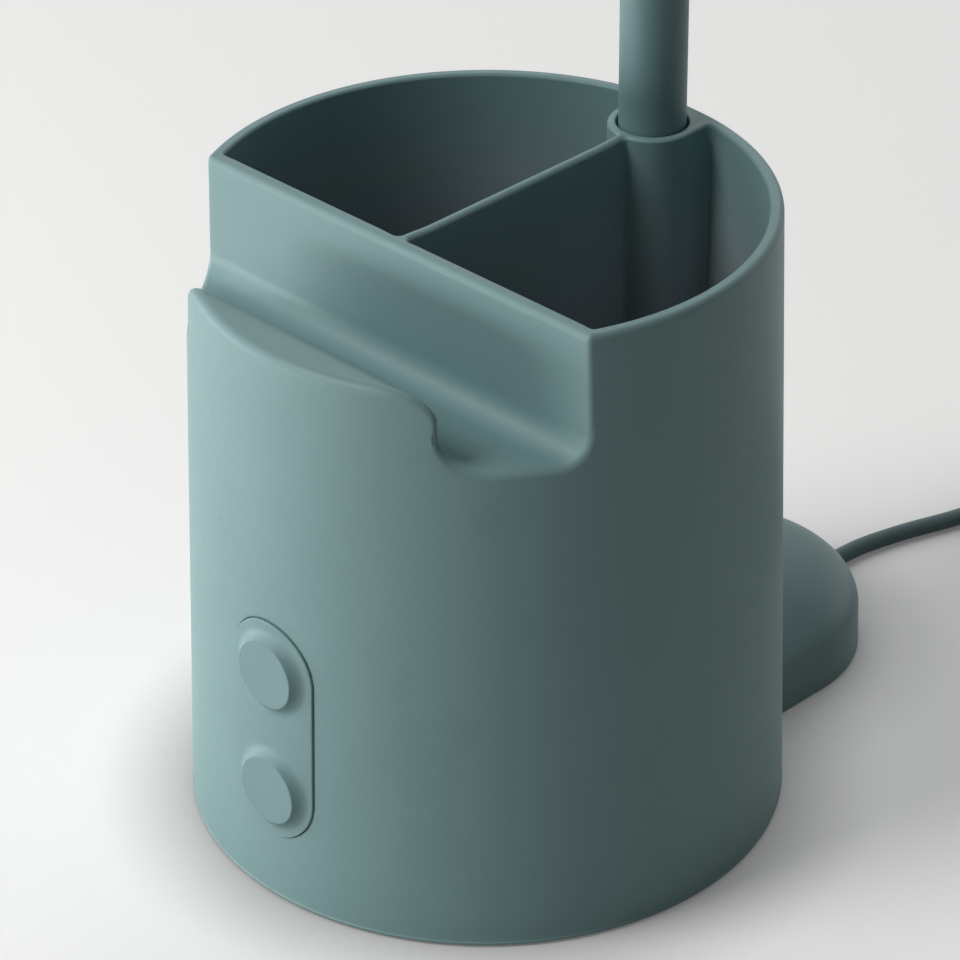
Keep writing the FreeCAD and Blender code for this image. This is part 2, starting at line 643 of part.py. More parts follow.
def stem_collar():
    half, lug_top = LUG_WIDTH / 2, COLLAR_BOTTOM + LUG_HEIGHT
    lug = block((-half, STEM_Y, COLLAR_BOTTOM), (half, STEM_Y + LUG_REACH, lug_top))
    collar = fused([disc(COLLAR_RADIUS, COLLAR_BOTTOM, COLLAR_TOP, 0, STEM_Y), lug])
    middle = (COLLAR_BOTTOM + COLLAR_TOP) / 2
    thread = BOARD_THREAD + THREAD_CLEARANCE
    return collar.cut([disc(STEM_RADIUS + RUN, 0, FAR, 0, STEM_Y),
                       rod(thread, (0, STEM_Y, middle), (-FAR, STEM_Y, middle))])


def collar_screw():
    middle = (COLLAR_BOTTOM + COLLAR_TOP) / 2
    return rod(BOARD_THREAD, (-STEM_RADIUS, STEM_Y, middle), (-COLLAR_RADIUS, STEM_Y, middle)).cut(
        disc(STEM_RADIUS + RUN, 0, FAR, 0, STEM_Y))


# ---- Keys ----

def button_front(z):
    """Y of a button's flat face."""
    return -cup_radius(z) - BUTTON_RISE


def key_plate():
    """Pill flush with the cup, with a low collar round each button and a flange behind."""
    plate = pill(PILL_HALF_WIDTH, PILL_LOW, PILL_HIGH, -FAR, PLATE_BACK_Y)
    plate = plate.common(cup_cone(0, SKIRT_GAP, CUP_HEIGHT))
    flange_back = PLATE_BACK_Y + FLANGE_THICKNESS
    flange = pill(PILL_HALF_WIDTH + FLANGE_MARGIN, PILL_LOW, PILL_HIGH, PLATE_BACK_Y, flange_back)
    collars, holes = [], []
    for z in BUTTON_HEIGHTS.values():
        top = button_front(z) + COLLAR_DROP
        collars.append(button_collar(z, top))
        holes.append(rod(BUTTON_RADIUS + BUTTON_GAP, (0, -FAR, z), (0, 0, z)))
    return fused([plate, flange] + collars).cut(holes)


def button_collar(z, top):
    """Hollow-sided cone round a button, from its top edge down to where it runs out on the plate."""
    hole = BUTTON_RADIUS + BUTTON_GAP
    inner, edge, foot = hole / 2, hole + COLLAR_EDGE, -cup_radius(z) + COLLAR_SINK
    side = math.hypot(COLLAR_BASE - edge, foot - top)
    middle = ((edge + COLLAR_BASE) / 2 - COLLAR_SAG * (foot - top) / side,
              (top + foot) / 2 + COLLAR_SAG * (COLLAR_BASE - edge) / side, 0)
    profile = outline([(inner, top, 0), (edge, top, 0), (middle, (COLLAR_BASE, foot, 0)), (inner, foot, 0)])
    profile.translate(Vector(0, 0, z))
    return profile.revolve(Vector(0, 0, z), Y_AXIS, 360)


def button(z):
    """Cap with a rounded edge, a flange behind the plate and a flat back that meets the plunger."""
    front = button_front(z)
    flange_front = PLATE_BACK_Y + FLANGE_THICKNESS
    cap = rod(BUTTON_RADIUS, (0, front, z), (0, flange_front, z))
    cap = cap.makeFillet(BUTTON_EDGE, edges_where(cap, lambda p: abs(p.y - front) < 0.001))
    return cap.fuse(rod(BUTTON_RADIUS + CAP_FLANGE, (0, flange_front, z), (0, CAP_BACK_Y, z)))


def plunger(z):
    return rod(PLUNGER_RADIUS, (0, CAP_BACK_Y, z), (0, CAP_BACK_Y + PLUNGER_RISE + PLUNGER_HIDDEN, z))


def switch_bodies():
    half, back = SWITCH_SIZE / 2, BOARD_Y
    bodies = []
    for z in BUTTON_HEIGHTS.values():
        case = block((-half, back - SWITCH_DEPTH, z - half), (half, back, z + half))
        well = rod(PLUNGER_RADIUS + RUN, (0, back - SWITCH_DEPTH - 1, z), (0, back - SWITCH_FLOOR, z))
        bodies.append(case.cut(well))
    return group(bodies)


def control_board():
    half = BOARD_HALF_WIDTH
    board = block((-half, BOARD_Y, BOARD_LOW), (half, BOARD_BACK_Y, BOARD_HIGH))
    hole = BOARD_THREAD + SHANK_CLEARANCE
    return board.cut([rod(hole, (x, -FAR, z), (x, 0, z)) for x, z in board_screw_places()])


def board_screws():
    back = BOARD_BACK_Y
    head = SMALL_HEAD_HEIGHT
    length = BOARD_SCREW_LENGTH + head
    return group([screw(BOARD_THREAD, length, SMALL_HEAD_RADIUS, head, (x, back + head, z), (0, -1, 0))
                  for x, z in board_screw_places()])


def board_components():
    """Chips, a coil and capacitors on the back of the board."""
    back = BOARD_BACK_Y
    return group([block((x - w / 2, back, z - h / 2), (x + w / 2, back + d, z + h / 2))
                  for x, z, w, h, d in CHIP_SIZES])


def connector_bottom():
    return BOARD_LOW + 1.0


def board_connectors():
    """Two small plug-in connectors, open downwards for their leads."""
    back, low = BOARD_BACK_Y, connector_bottom()
    high = low + CONNECTOR_HEIGHT
    bodies = []
    for x, radius in ((-CONNECTOR_X, LEAD_RADIUS), (CONNECTOR_X, CORD_RADIUS)):
        half, middle = CONNECTOR_WIDTH / 2, back + CONNECTOR_DEPTH / 2
        body = block((x - half, back, low), (x + half, back + CONNECTOR_DEPTH, high))
        bodies.append(body.cut(disc(radius + RUN, low - 1, high - CONNECTOR_ROOF, x, middle)))
    return group(bodies)


# ---- Cords ----

def lead_height():
    """Height of the thin lead in its groove on the ballast."""
    return BALLAST_TOP - LEAD_DEPTH - LEAD_RADIUS


def cord_grommet():
    """Bush in the heel's wall with an inner flange and a tapered strain relief outside."""
    bore, neck = CORD_RADIUS + RUN, CORD_RADIUS + RUN + GROMMET_WALL
    outside = HEEL_END_Y + HEEL_HALF_WIDTH
    inside = outside - HEEL_WALL
    flange = inside - GROMMET_SEAT
    start = flange - GROMMET_FLANGE_THICKNESS

    def along_cord(radius, low, high):
        return rod(radius, (0, low, CORD_Z), (0, high, CORD_Z))

    relief = Part.makeCone(GROMMET_FLANGE, RELIEF_TIP, RELIEF_LENGTH, Vector(0, outside, CORD_Z), Y_AXIS)
    flange_disc = along_cord(GROMMET_FLANGE, start, flange)
    body = fused([along_cord(neck, start, outside + RELIEF_LENGTH / 2), flange_disc, relief])
    return body.cut(along_cord(bore, 0, RELIEF_END_Y - RELIEF_END))


def cord_clamp():
    half, reach = CLAMP_WIDTH / 2, CLAMP_LENGTH / 2
    top = INNER_CORD_Z + CORD_RADIUS + CLAMP_ROOF
    saddle = block((-half, CLAMP_Y - reach, PLATE_TOP), (half, CLAMP_Y + reach, top))
    bore = CORD_RADIUS + RUN
    holes = [rod(bore, (0, 0, INNER_CORD_Z), (0, FAR, INNER_CORD_Z)),
             block((-bore, 0, 0), (bore, FAR, INNER_CORD_Z))]
    screw_hole = BASE_THREAD + SHANK_CLEARANCE
    holes += [disc(screw_hole, 0, FAR, x, CLAMP_Y) for x in (-CLAMP_SCREW_X, CLAMP_SCREW_X)]
    return saddle.cut(holes)


def clamp_screws():
    top = INNER_CORD_Z + CORD_RADIUS + CLAMP_ROOF
    head = CLAMP_HEAD_HEIGHT
    length = top + head - PLATE_BOTTOM - CLAMP_SCREW_END
    return group([screw(BASE_THREAD, length, CLAMP_HEAD_RADIUS, head, (x, CLAMP_Y, top + head), (0, 0, -1))
                  for x in (-CLAMP_SCREW_X, CLAMP_SCREW_X)])


def inner_cord():
    """The cord inside: through the grommet, clamp and ballast, then up to its connector."""
    z, outside = INNER_CORD_Z, RELIEF_END_Y - RELIEF_END
    front, rise_y = BALLAST_FRONT_Y, BOARD_BACK_Y + CONNECTOR_DEPTH / 2
    end = connector_bottom() + CONNECTOR_HEIGHT - CONNECTOR_ROOF
    low, high = (CLAMP_Y + step for step in CORD_RISE)
    x, back, rise = CORD_TURN
    return tube_along("inner cord", (
        (0, outside, CORD_Z), (0, low, CORD_Z), (0, high, z), (0, front, z), (x, rise_y + back, z + rise),
        (CONNECTOR_X, rise_y, z + CORD_UPRIGHT), (CONNECTOR_X, rise_y, end)), CORD_RADIUS)


def board_lead():
    """Thin lead from below the stem, along its groove, to its connector."""
    z, front, rise_y = lead_height(), BALLAST_FRONT_Y, BOARD_BACK_Y + CONNECTOR_DEPTH / 2
    end = connector_bottom() + CONNECTOR_HEIGHT - CONNECTOR_ROOF
    x, back, rise = LEAD_TURN
    return tube_along("board lead", (
        (0, STEM_Y, COLLAR_BOTTOM), (0, STEM_Y, z), (0, front, z), (-x, rise_y + back, z + rise),
        (-CONNECTOR_X, rise_y, z + LEAD_UPRIGHT), (-CONNECTOR_X, rise_y, end)), LEAD_RADIUS)


def tie_block(depth, low, high):
    """Box as wide as the tie across all the turns at the back of the coil, and a depth beyond them."""
    x, y = COIL_CENTRE.x, COIL_CENTRE.y
    half = TIE_WIDTH / 2
    near = y + math.sqrt(COIL_INNER ** 2 - half ** 2)
    return block((x - half, near - depth, low), (x + half, y + COIL_OUTER + depth, high))


def cord_coil():
    """The turns as one ring, pressed in a little where the tie passes under them."""
    coil = ring(COIL_OUTER, COIL_INNER, 0, COIL_HEIGHT, COIL_CENTRE.x, COIL_CENTRE.y)
    return coil.cut(tie_block(TIE_THICKNESS, 0, TIE_THICKNESS))


def cord_tie():
    """Flat band round all the turns."""
    band = tie_block(TIE_THICKNESS, 0, COIL_HEIGHT + TIE_THICKNESS)
    return band.cut(tie_block(0, TIE_THICKNESS, COIL_HEIGHT))


def plug_block(width, height, ahead, length):
    """Box centred on the plug, from a distance ahead of its back, as long as given."""
    x, y, z = PLUG_END
    x_half, z_half = width / 2, height / 2
    return block((x - x_half, y - ahead - length, z - z_half), (x + x_half, y - ahead, z + z_half))


def usb_plug():
    """Plug body with rounded edges, lying flat on the table."""
    body = plug_block(PLUG_WIDTH, PLUG_THICKNESS, 0, PLUG_LENGTH)
    middle = PLUG_END.y - PLUG_LENGTH / 2
    body = body.makeFillet(PLUG_ROUND, edges_where(body, lambda p: abs(p.y - middle) < 0.01))
    return body.cut(plug_block(SHELL_WIDTH, SHELL_HEIGHT, PLUG_LENGTH - SHELL_SEAT, PLUG_LENGTH))


def usb_shell():
    """Folded metal shell of the plug, seated in its body."""
    start, length = PLUG_LENGTH - SHELL_SEAT, SHELL_SEAT + SHELL_LENGTH
    shell = plug_block(SHELL_WIDTH, SHELL_HEIGHT, start, length)
    sheets = 2 * SHELL_SHEET
    inside = plug_block(SHELL_WIDTH - sheets, SHELL_HEIGHT - sheets, start + SHELL_SHEET, length)
    ahead = PLUG_LENGTH + SHELL_LENGTH - LATCH_AHEAD - LATCH_LENGTH
    slots = []
    for side in (-LATCH_X, LATCH_X):
        slot = plug_block(LATCH_WIDTH, SHELL_HEIGHT, ahead, LATCH_LENGTH)
        slots.append(slot.translate(Vector(side, 0, SHELL_HEIGHT / 2)))
    return shell.cut([inside] + slots)


def usb_tongue():
    """Insulating tongue along the shell's lower inside."""
    start, end = PLUG_LENGTH - SHELL_SEAT + SHELL_SHEET, PLUG_LENGTH + SHELL_LENGTH - TONGUE_BACK
    tongue = plug_block(SHELL_WIDTH - 2 * SHELL_SHEET, TONGUE_HEIGHT, start, end - start)
    return tongue.translate(Vector(0, 0, SHELL_SHEET + (TONGUE_HEIGHT - SHELL_HEIGHT) / 2))


def usb_contacts():
    """Four contacts on top of the tongue."""
    rise = SHELL_SHEET + TONGUE_HEIGHT + (CONTACT_THICKNESS - SHELL_HEIGHT) / 2
    start = PLUG_LENGTH + SHELL_LENGTH - CONTACT_BACK - CONTACT_LENGTH
    contacts = []
    for step in (-1.5, -0.5, 0.5, 1.5):
        contact = plug_block(CONTACT_WIDTH, CONTACT_THICKNESS, start, CONTACT_LENGTH)
        contacts.append(contact.translate(Vector(step * CONTACT_PITCH, 0, rise)))
    return group(contacts)


# ---- Arm ----

def arm_path(low, tip):
    """Stem axis: straight up, a quarter bend forwards, then level to the tip."""
    foot, bend = Vector(0, STEM_Y, low), ARM_HEIGHT - ARM_BEND
    start, end = Vector(0, STEM_Y, bend), Vector(0, STEM_Y - ARM_BEND, ARM_HEIGHT)
    part_turn = ARM_BEND * (1 - math.sqrt(0.5))
    middle = Vector(0, STEM_Y - part_turn, ARM_HEIGHT - part_turn)
    return Part.Wire([Part.LineSegment(foot, start).toShape(), Part.Arc(start, middle, end).toShape(),
                      Part.LineSegment(end, Vector(0, tip, ARM_HEIGHT)).toShape()])


def bent_rod(radius, low, tip):
    section = Part.Wire(Part.makeCircle(radius, Vector(0, STEM_Y, low), Z_AXIS))
    return arm_path(low, tip).makePipeShell([section], True, False)


def stem_tube():
    tube = bent_rod(STEM_RADIUS, COLLAR_BOTTOM, ARM_END_Y)
    return tube.cut(bent_rod(STEM_RADIUS - STEM_WALL, COLLAR_BOTTOM, ARM_END_Y))


def arm_tip():
    """Plug in the tube's end with a shoulder and a tongue for the tilt pin."""
    end, face = ARM_END_Y, ARM_END_Y - TIP_SHOULDER
    half, z = TONGUE_THICKNESS / 2, ARM_HEIGHT
    insert = rod(STEM_RADIUS - STEM_WALL - RUN, (0, end + TIP_INSERT, z), (0, end, z))
    shoulder = rod(STEM_RADIUS, (0, end, z), (0, face, z))
    tongue = block((-half, PIVOT.y, z - TONGUE_RADIUS), (half, face, z + TONGUE_RADIUS))
    eye = rod(TONGUE_RADIUS, (-half, PIVOT.y, z), (half, PIVOT.y, z))
    wire_y = face - 3
    hole = LEAD_RADIUS + RUN
    return fused([insert, shoulder, tongue, eye]).cut([
        rod(PIN_RADIUS + RUN, (-FAR, PIVOT.y, z), (FAR, PIVOT.y, z)),
        rod(hole, (0, 0, z), (0, wire_y, z)), disc(hole, 0, z, 0, wire_y)])


def pin_hole():
    """Cutting tool for whatever the tilt pin passes without turning in it."""
    return rod(PIN_RADIUS + PIN_CLEARANCE, (-FAR, PIVOT.y, ARM_HEIGHT), (FAR, PIVOT.y, ARM_HEIGHT))


def tilt_pin():
    """Shouldered pin with a round head on the right and a nut on the left."""
    y, z = PIVOT.y, ARM_HEIGHT
    shank = rod(PIN_RADIUS, (-EAR_OUTER - PIN_HEAD_HEIGHT - PIN_BEYOND_NUT, y, z), (EAR_OUTER, y, z))
    return shank.fuse(rod(PIN_HEAD_RADIUS, (EAR_OUTER, y, z), (EAR_OUTER + PIN_HEAD_HEIGHT, y, z)))


def tilt_nut():
    """Hexagon nut against the left ear."""
    corners = [(-EAR_OUTER, PIVOT.y + PIN_HEAD_RADIUS * math.cos(math.radians(60 * i)),
                ARM_HEIGHT + PIN_HEAD_RADIUS * math.sin(math.radians(60 * i))) for i in range(6)]
    nut = outline(corners).extrude(Vector(-PIN_HEAD_HEIGHT, 0, 0))
    return nut.cut(pin_hole())


def tilt_washers():
    inner, washers = TONGUE_THICKNESS / 2, []
    for low, high in ((-EAR_INNER, -inner), (inner, EAR_INNER)):
        washer = rod(TILT_WASHER_RADIUS, (low, PIVOT.y, ARM_HEIGHT), (high, PIVOT.y, ARM_HEIGHT))
        washers.append(washer.cut(pin_hole()))
    return group(washers)


def bracket_screw_places():
    return [(0, PIVOT.y - BRACKET_SCREW_OFFSET), (0, PIVOT.y + BRACKET_SCREW_OFFSET)]


def shade_bracket():
    """Round foot on the shade with two ears for the tilt pin."""
    parts = [disc(BRACKET_RADIUS, SHADE_TOP, SHADE_TOP + BRACKET_BASE, 0, PIVOT.y)]
    for low, high in ((-EAR_OUTER, -EAR_INNER), (EAR_INNER, EAR_OUTER)):
        parts.append(block((low, PIVOT.y - TONGUE_RADIUS, SHADE_TOP + BRACKET_BASE / 2),
                           (high, PIVOT.y + TONGUE_RADIUS, ARM_HEIGHT)))
        parts.append(rod(TONGUE_RADIUS, (low, PIVOT.y, ARM_HEIGHT), (high, PIVOT.y, ARM_HEIGHT)))
    holes = [disc(BOARD_THREAD + HEAD_CLEARANCE, 0, FAR, x, y) for x, y in bracket_screw_places()]
    return fused(parts).cut(holes + [pin_hole(), disc(WIRE_HOLE, 0, FAR, 0, PIVOT.y)])


def bracket_screws():
    """Screws from inside the shade into the bracket's foot."""
    head = SMALL_HEAD_HEIGHT
    under = crown_seat()
    length = head + SHADE_TOP - under + BRACKET_BASE - BLIND_FLOOR
    return group([screw(BOARD_THREAD, length, SMALL_HEAD_RADIUS, head, (x, y, under - head), (0, 0, 1))
                  for x, y in bracket_screw_places()])


# ---- Head ----

def shade_solid(inset, low):
    """The shade's outside, moved inwards by a wall, from a given height up."""
    shoulder = Vector(0, PIVOT.y, SHADE_LOW + SHADE_SKIRT)
    section = arched_face(shoulder, SHADE_RADIUS - inset, SHADE_DOME - inset, low, math.pi / 2)
    return section.revolve(shoulder, Z_AXIS, 360)


def head_boss_places():
    places = []
    for i in range(3):
        turn = math.radians(90 + 120 * i)
        places.append((HEAD_BOSS_OFFSET * math.cos(turn), PIVOT.y + HEAD_BOSS_OFFSET * math.sin(turn)))
    return places


def sink_low():
    return SHADE_LOW + SINK_RISE


def crown_seat():
    """Height of the flat inside the crown, below the curve of the dome there."""
    inner_radius, inner_dome = SHADE_RADIUS - SHADE_WALL, SHADE_DOME - SHADE_WALL
    drop = inner_dome * (1 - math.sqrt(1 - (BRACKET_RADIUS / inner_radius) ** 2))
    return SHADE_TOP - SHADE_WALL - drop - CROWN_SEAT


def shade_shell():
    """Domed shade with a ledge for the diffuser and three bosses for the heat sink."""
    shell = shade_solid(0, SHADE_LOW).cut(shade_solid(SHADE_WALL, SHADE_LOW - 1))
    ledge_low = SHADE_LOW + LEDGE_RISE - LEDGE_WIDTH
    ledge = ring(SHADE_RADIUS - SHADE_WALL / 2, SHADE_RADIUS - SHADE_WALL - LEDGE_WIDTH,
                 ledge_low, SHADE_LOW + LEDGE_RISE, 0, PIVOT.y)
    core = shade_solid(SHADE_WALL / 2, SHADE_LOW)
    bosses = [disc(HEAD_BOSS_RADIUS, sink_low() + SINK_THICKNESS, SHADE_TOP, x, y).common(core)
              for x, y in head_boss_places()]
    shell = fused([shell, ledge] + bosses)
    # a small flat on the crown seats the bracket, and another inside seats its screws
    shell = shell.fuse(disc(BRACKET_RADIUS, crown_seat(), SHADE_TOP, 0, PIVOT.y))
    holes = [disc(BOARD_THREAD + HEAD_CLEARANCE, 0, FAR, x, y) for x, y in bracket_screw_places()]
    holes.append(disc(WIRE_HOLE, 0, FAR, 0, PIVOT.y))
    pilot = BOARD_THREAD + THREAD_CLEARANCE
    holes += [disc(pilot, 0, sink_low() + SINK_THICKNESS + 4, x, y) for x, y in head_boss_places()]
    return shell.cut(holes)


def heat_sink():
    plate = disc(SINK_RADIUS, sink_low(), sink_low() + SINK_THICKNESS, 0, PIVOT.y)
    holes = [disc(BOARD_THREAD + HEAD_CLEARANCE, 0, FAR, x, y) for x, y in head_boss_places()]
    return plate.cut(holes + [disc(WIRE_HOLE, 0, FAR, 0, PIVOT.y)])


def led_board():
    board = disc(LED_BOARD_RADIUS, sink_low() - LED_BOARD_THICKNESS, sink_low(), 0, PIVOT.y)
    holes = [disc(BOARD_THREAD + HEAD_CLEARANCE, 0, FAR, x, y) for x, y in head_boss_places()]
    return board.cut(holes + [disc(WIRE_HOLE, 0, FAR, 0, PIVOT.y)])


def led_chips():
    """Two rings of chips under the LED board, kept clear of its screws."""
    top = sink_low() - LED_BOARD_THICKNESS
    chips = []
    for count, radius in zip(LED_COUNTS, LED_RADII):
        for i in range(count):
            turn = 360.0 * i / count
            chip = block((radius - LED_LENGTH / 2, -LED_WIDTH / 2, top - LED_HEIGHT),
                         (radius + LED_LENGTH / 2, LED_WIDTH / 2, top))
            chip.rotate(Vector(0, 0, 0), Z_AXIS, turn)
            chip.translate(Vector(0, PIVOT.y, 0))
            chips.append(chip)
    return group(chips)


def head_screws():
    """Screws up through the LED board and the heat sink into the shade's bosses."""
    head = SMALL_HEAD_HEIGHT
    under = sink_low() - LED_BOARD_THICKNESS
    length = head + LED_BOARD_THICKNESS + SINK_THICKNESS + HEAD_SCREW_BITE
    return group([screw(BOARD_THREAD, length, SMALL_HEAD_RADIUS, head, (x, y, under - head), (0, 0, 1))
                  for x, y in head_boss_places()])


def diffuser_top():
    return SHADE_LOW + LEDGE_RISE - LEDGE_WIDTH


def diffuser():
    top = diffuser_top()
    return disc(SHADE_RADIUS - SHADE_WALL - HEAD_GAP, top - DIFFUSER_THICKNESS, top, 0, PIVOT.y)


def diffuser_ring():
    """Snap ring that holds the diffuser against the ledge."""
    top = diffuser_top() - DIFFUSER_THICKNESS
    outer = SHADE_RADIUS - SHADE_WALL - RUN
    return ring(outer, outer - RING_WIDTH, top - RING_THICKNESS, top, 0, PIVOT.y)


def head_lead():
    """Lead from the bracket's foot down to the LED board."""
    return disc(LEAD_RADIUS, sink_low() - LED_BOARD_THICKNESS, SHADE_TOP + BRACKET_BASE, 0, PIVOT.y)


def lamp_lead():
    """Lead inside the stem, from the turning foot to the arm's tip."""
    return bent_rod(LEAD_RADIUS, COLLAR_BOTTOM, ARM_END_Y - TIP_SHOULDER)


# ---- Build ----

os.makedirs("parts", exist_ok=True)

export("cup_body", cup_body())
export("base_plate", base_plate())
export("non_slip_pad", non_slip_pad())
export("ballast_weight", ballast_weight())
export("base_screws", upright_screws(base_boss_places()))
export("ballast_screws", upright_screws(BALLAST_SCREW_PLACES))

export("upper_bush", bush(CUP_HEIGHT - BUSH_DROP - BUSH_LENGTH))
export("lower_bush", bush(SOCKET_END))
export("thrust_washer", ring(COLLAR_RADIUS, WASHER_BORE, BALLAST_TOP, COLLAR_BOTTOM, 0, STEM_Y))
export("friction_washer", ring(COLLAR_RADIUS, STEM_RADIUS + RUN, COLLAR_TOP, SOCKET_END, 0, STEM_Y))

export("key_plate", key_plate())
for place, height in BUTTON_HEIGHTS.items():
    export(place + "_button", button(height))
    export(place + "_plunger", plunger(height))
export("switch_bodies", switch_bodies())
export("control_board", control_board())
export("board_screws", board_screws())
export("board_components", board_components())
export("board_connectors", board_connectors())

export("cord_grommet", cord_grommet())
export("cord_clamp", cord_clamp())
export("clamp_screws", clamp_screws())
export("inner_cord", inner_cord())
export("board_lead", board_lead())
export("power_cord", tube_along("power cord", CORD_ROUTE, CORD_RADIUS))
export("cord_coil", cord_coil())
export("cord_tie", cord_tie())
export("cord_tail", tube_along("cord tail", TAIL_ROUTE, CORD_RADIUS))
export("usb_plug", usb_plug())
export("usb_shell", usb_shell())
export("usb_tongue", usb_tongue())
export("usb_contacts", usb_contacts())

export("stem_tube", stem_tube())
export("stem_collar", stem_collar())
export("collar_screw", collar_screw())
export("lamp_lead", lamp_lead())
export("arm_tip", arm_tip())

export("tilt_pin", tilt_pin())
export("tilt_nut", tilt_nut())
export("tilt_washers", tilt_washers())
export("shade_bracket", shade_bracket())
export("bracket_screws", bracket_screws())
export("shade_shell", shade_shell())
export("heat_sink", heat_sink())
export("led_board", led_board())
export("led_chips", led_chips())
export("head_screws", head_screws())
export("diffuser", diffuser())
export("diffuser_ring", diffuser_ring())
export("head_lead", head_lead())
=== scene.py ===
import json
import math
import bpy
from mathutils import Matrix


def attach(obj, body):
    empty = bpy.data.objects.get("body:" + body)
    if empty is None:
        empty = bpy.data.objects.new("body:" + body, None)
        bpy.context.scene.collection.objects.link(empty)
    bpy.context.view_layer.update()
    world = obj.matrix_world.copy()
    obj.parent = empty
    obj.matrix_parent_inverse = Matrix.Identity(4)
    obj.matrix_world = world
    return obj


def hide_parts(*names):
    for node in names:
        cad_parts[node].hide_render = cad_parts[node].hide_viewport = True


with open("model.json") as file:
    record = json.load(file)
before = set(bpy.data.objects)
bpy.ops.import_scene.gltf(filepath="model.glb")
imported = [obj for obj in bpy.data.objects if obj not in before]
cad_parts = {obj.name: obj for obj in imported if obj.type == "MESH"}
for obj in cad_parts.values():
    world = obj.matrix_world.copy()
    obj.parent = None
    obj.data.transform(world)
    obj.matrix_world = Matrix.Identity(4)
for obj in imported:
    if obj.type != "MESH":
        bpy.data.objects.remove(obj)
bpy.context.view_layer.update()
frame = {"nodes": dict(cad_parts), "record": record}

from types import SimpleNamespace

import bmesh
import bpy
import numpy as np
from mathutils import Matrix, Vector
from mathutils.geometry import tessellate_polygon

# Lengths below are in millimetres, in the CAD model's frame, and become metres where a mesh or curve is made. Only
# the cord's whole length and the stage are given in metres. The lamp's front faces -Y. Angles round the cup are
# measured from the front, towards +X.
mm = 0.001
join = np.concatenate


def byName(make):
    # Lets a function read the values of its dictionary as names.
    return lambda values, *rest: make(SimpleNamespace(**values), *rest)


# Mesh making

class Patches:
    # The points and faces of one mesh, gathered patch by patch.
    def __init__(self):
        self.points, self.faces, self.count = [], [], 0

    def add(self, points, closedRows=False, closedColumns=False):
        rows, columns = points.shape[:2]
        i = np.arange(rows if closedRows else rows - 1)
        j = np.arange(columns if closedColumns else columns - 1)
        a, b = np.meshgrid(i, j, indexing="ij")
        c, d = (a + 1) % rows, (b + 1) % columns
        quads = zipped(a * columns + b, a * columns + d, c * columns + d, c * columns + b)
        self.faces += (quads.reshape(-1, 4) + self.count).tolist()
        self.points.append(points.reshape(-1, 3))
        self.count += rows * columns
        return self

    def addRound(self, points, closedRows=False):
        # As add, with the last column joined to the first.
        return self.add(points, closedRows, True)

    def fill(self, loops):
        # Flat face inside the first loop and outside the others, cut into triangles.
        triangles = np.array(tessellate_polygon([loop.tolist() for loop in loops]))
        self.faces += (triangles + self.count).tolist()
        self.points.append(join(loops))
        self.count += sum(len(loop) for loop in loops)


def rows(parts):
    # Equal rows of points put one after another into one grid.
    return np.stack([np.asarray(part) for part in parts])


def zipped(*parts):
    # Coordinates of matching shapes put together as points.
    return np.stack(np.broadcast_arrays(*parts), -1)


def inCamel(name):
    first, *others = name.split("_")
    return first + "".join(word.capitalize() for word in others)


def newObject(name, data):
    obj = bpy.data.objects.new(name, data)
    bpy.context.scene.collection.objects.link(obj)
    return obj


def place(name, data, body, slotName, *replaced):
    # A slot's name in the record, written in camel case, is the name of its material.
    obj = newObject(name, data)
    data.materials.append(materials[inCamel(slotName)])
    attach(obj, body)
    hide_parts(*replaced)
    return obj


meshing = {"weldDistance": 0.004, "shortestEdge": 0.001}


def makePiece(name, patches, body, slotName, *replaced):
    mesh = bpy.data.meshes.new(name)
    mesh.from_pydata((join(patches.points) * mm).tolist(), [], patches.faces)
    work = bmesh.new()
    work.from_mesh(mesh)
    bmesh.ops.remove_doubles(work, verts=work.verts, dist=meshing["weldDistance"] * mm)
    bmesh.ops.dissolve_degenerate(work, edges=work.edges, dist=meshing["shortestEdge"] * mm)
    bmesh.ops.recalc_face_normals(work, faces=work.faces)
    work.to_mesh(mesh)
    work.free()
    mesh.shade_smooth()
    obj = place(name, mesh, body, slotName, *replaced)
    obj.modifiers.new("weightedNormals", "WEIGHTED_NORMAL").keep_sharp = True
    return obj


def makeRound(name, points, body, slotName, node, closedRows=False):
    # Piece of one patch that closes round its columns.
    return makePiece(name, Patches().addRound(points, closedRows), body, slotName, node)


def smooth(t):
    # Eases from 0 to 1 as t goes from 0 to 1: three times t squared, less twice t cubed.
    t = np.clip(t, 0, 1)
    return t * t * (3 - 2 * t)


def between(a, b, t):
    # Straight from a to b as t goes from 0 to 1.
    return (1 - t) * a + t * b


def shares(count):
    # Column of evenly spaced numbers from 0 to 1.
    return np.linspace(0, 1, count)[:, None]


def fullTurn(count):
    # Even angles round a circle, without the first one again.
    return np.linspace(0, 2 * math.pi, count, endpoint=False)


def quarterTurn(count):
    return np.radians(np.linspace(0, 90, count))


def blurred(values, width, mode="edge", window=np.hanning):
    # Weighted mean of an odd number of neighbours, by default with the weights of a raised cosine.
    kernel = window(width)
    return np.convolve(np.pad(values, width // 2, mode), kernel / kernel.sum(), "valid")


def arc(centre, radius, start, end, count):
    # Points of a flat arc between two angles in degrees, its end left out.
    a = np.radians(np.linspace(start, end, count, endpoint=False))
    return zipped(centre[0] + radius * np.cos(a), centre[1] + radius * np.sin(a))


def line(start, end, count):
    # Evenly spaced points of a flat line, its end left out.
    return between(np.array(start), np.array(end), np.linspace(0, 1, count, endpoint=False)[:, None])


def flatNormals(loop):
    # Unit normals of a closed flat loop that runs anticlockwise, pointing away from its inside.
    ahead = np.roll(loop, -1, 0) - loop
    ahead /= np.linalg.norm(ahead, axis=1)[:, None]
    tangent = ahead + np.roll(ahead, 1, 0)
    tangent /= np.linalg.norm(tangent, axis=1)[:, None]
    return zipped(tangent[:, 1], -tangent[:, 0])


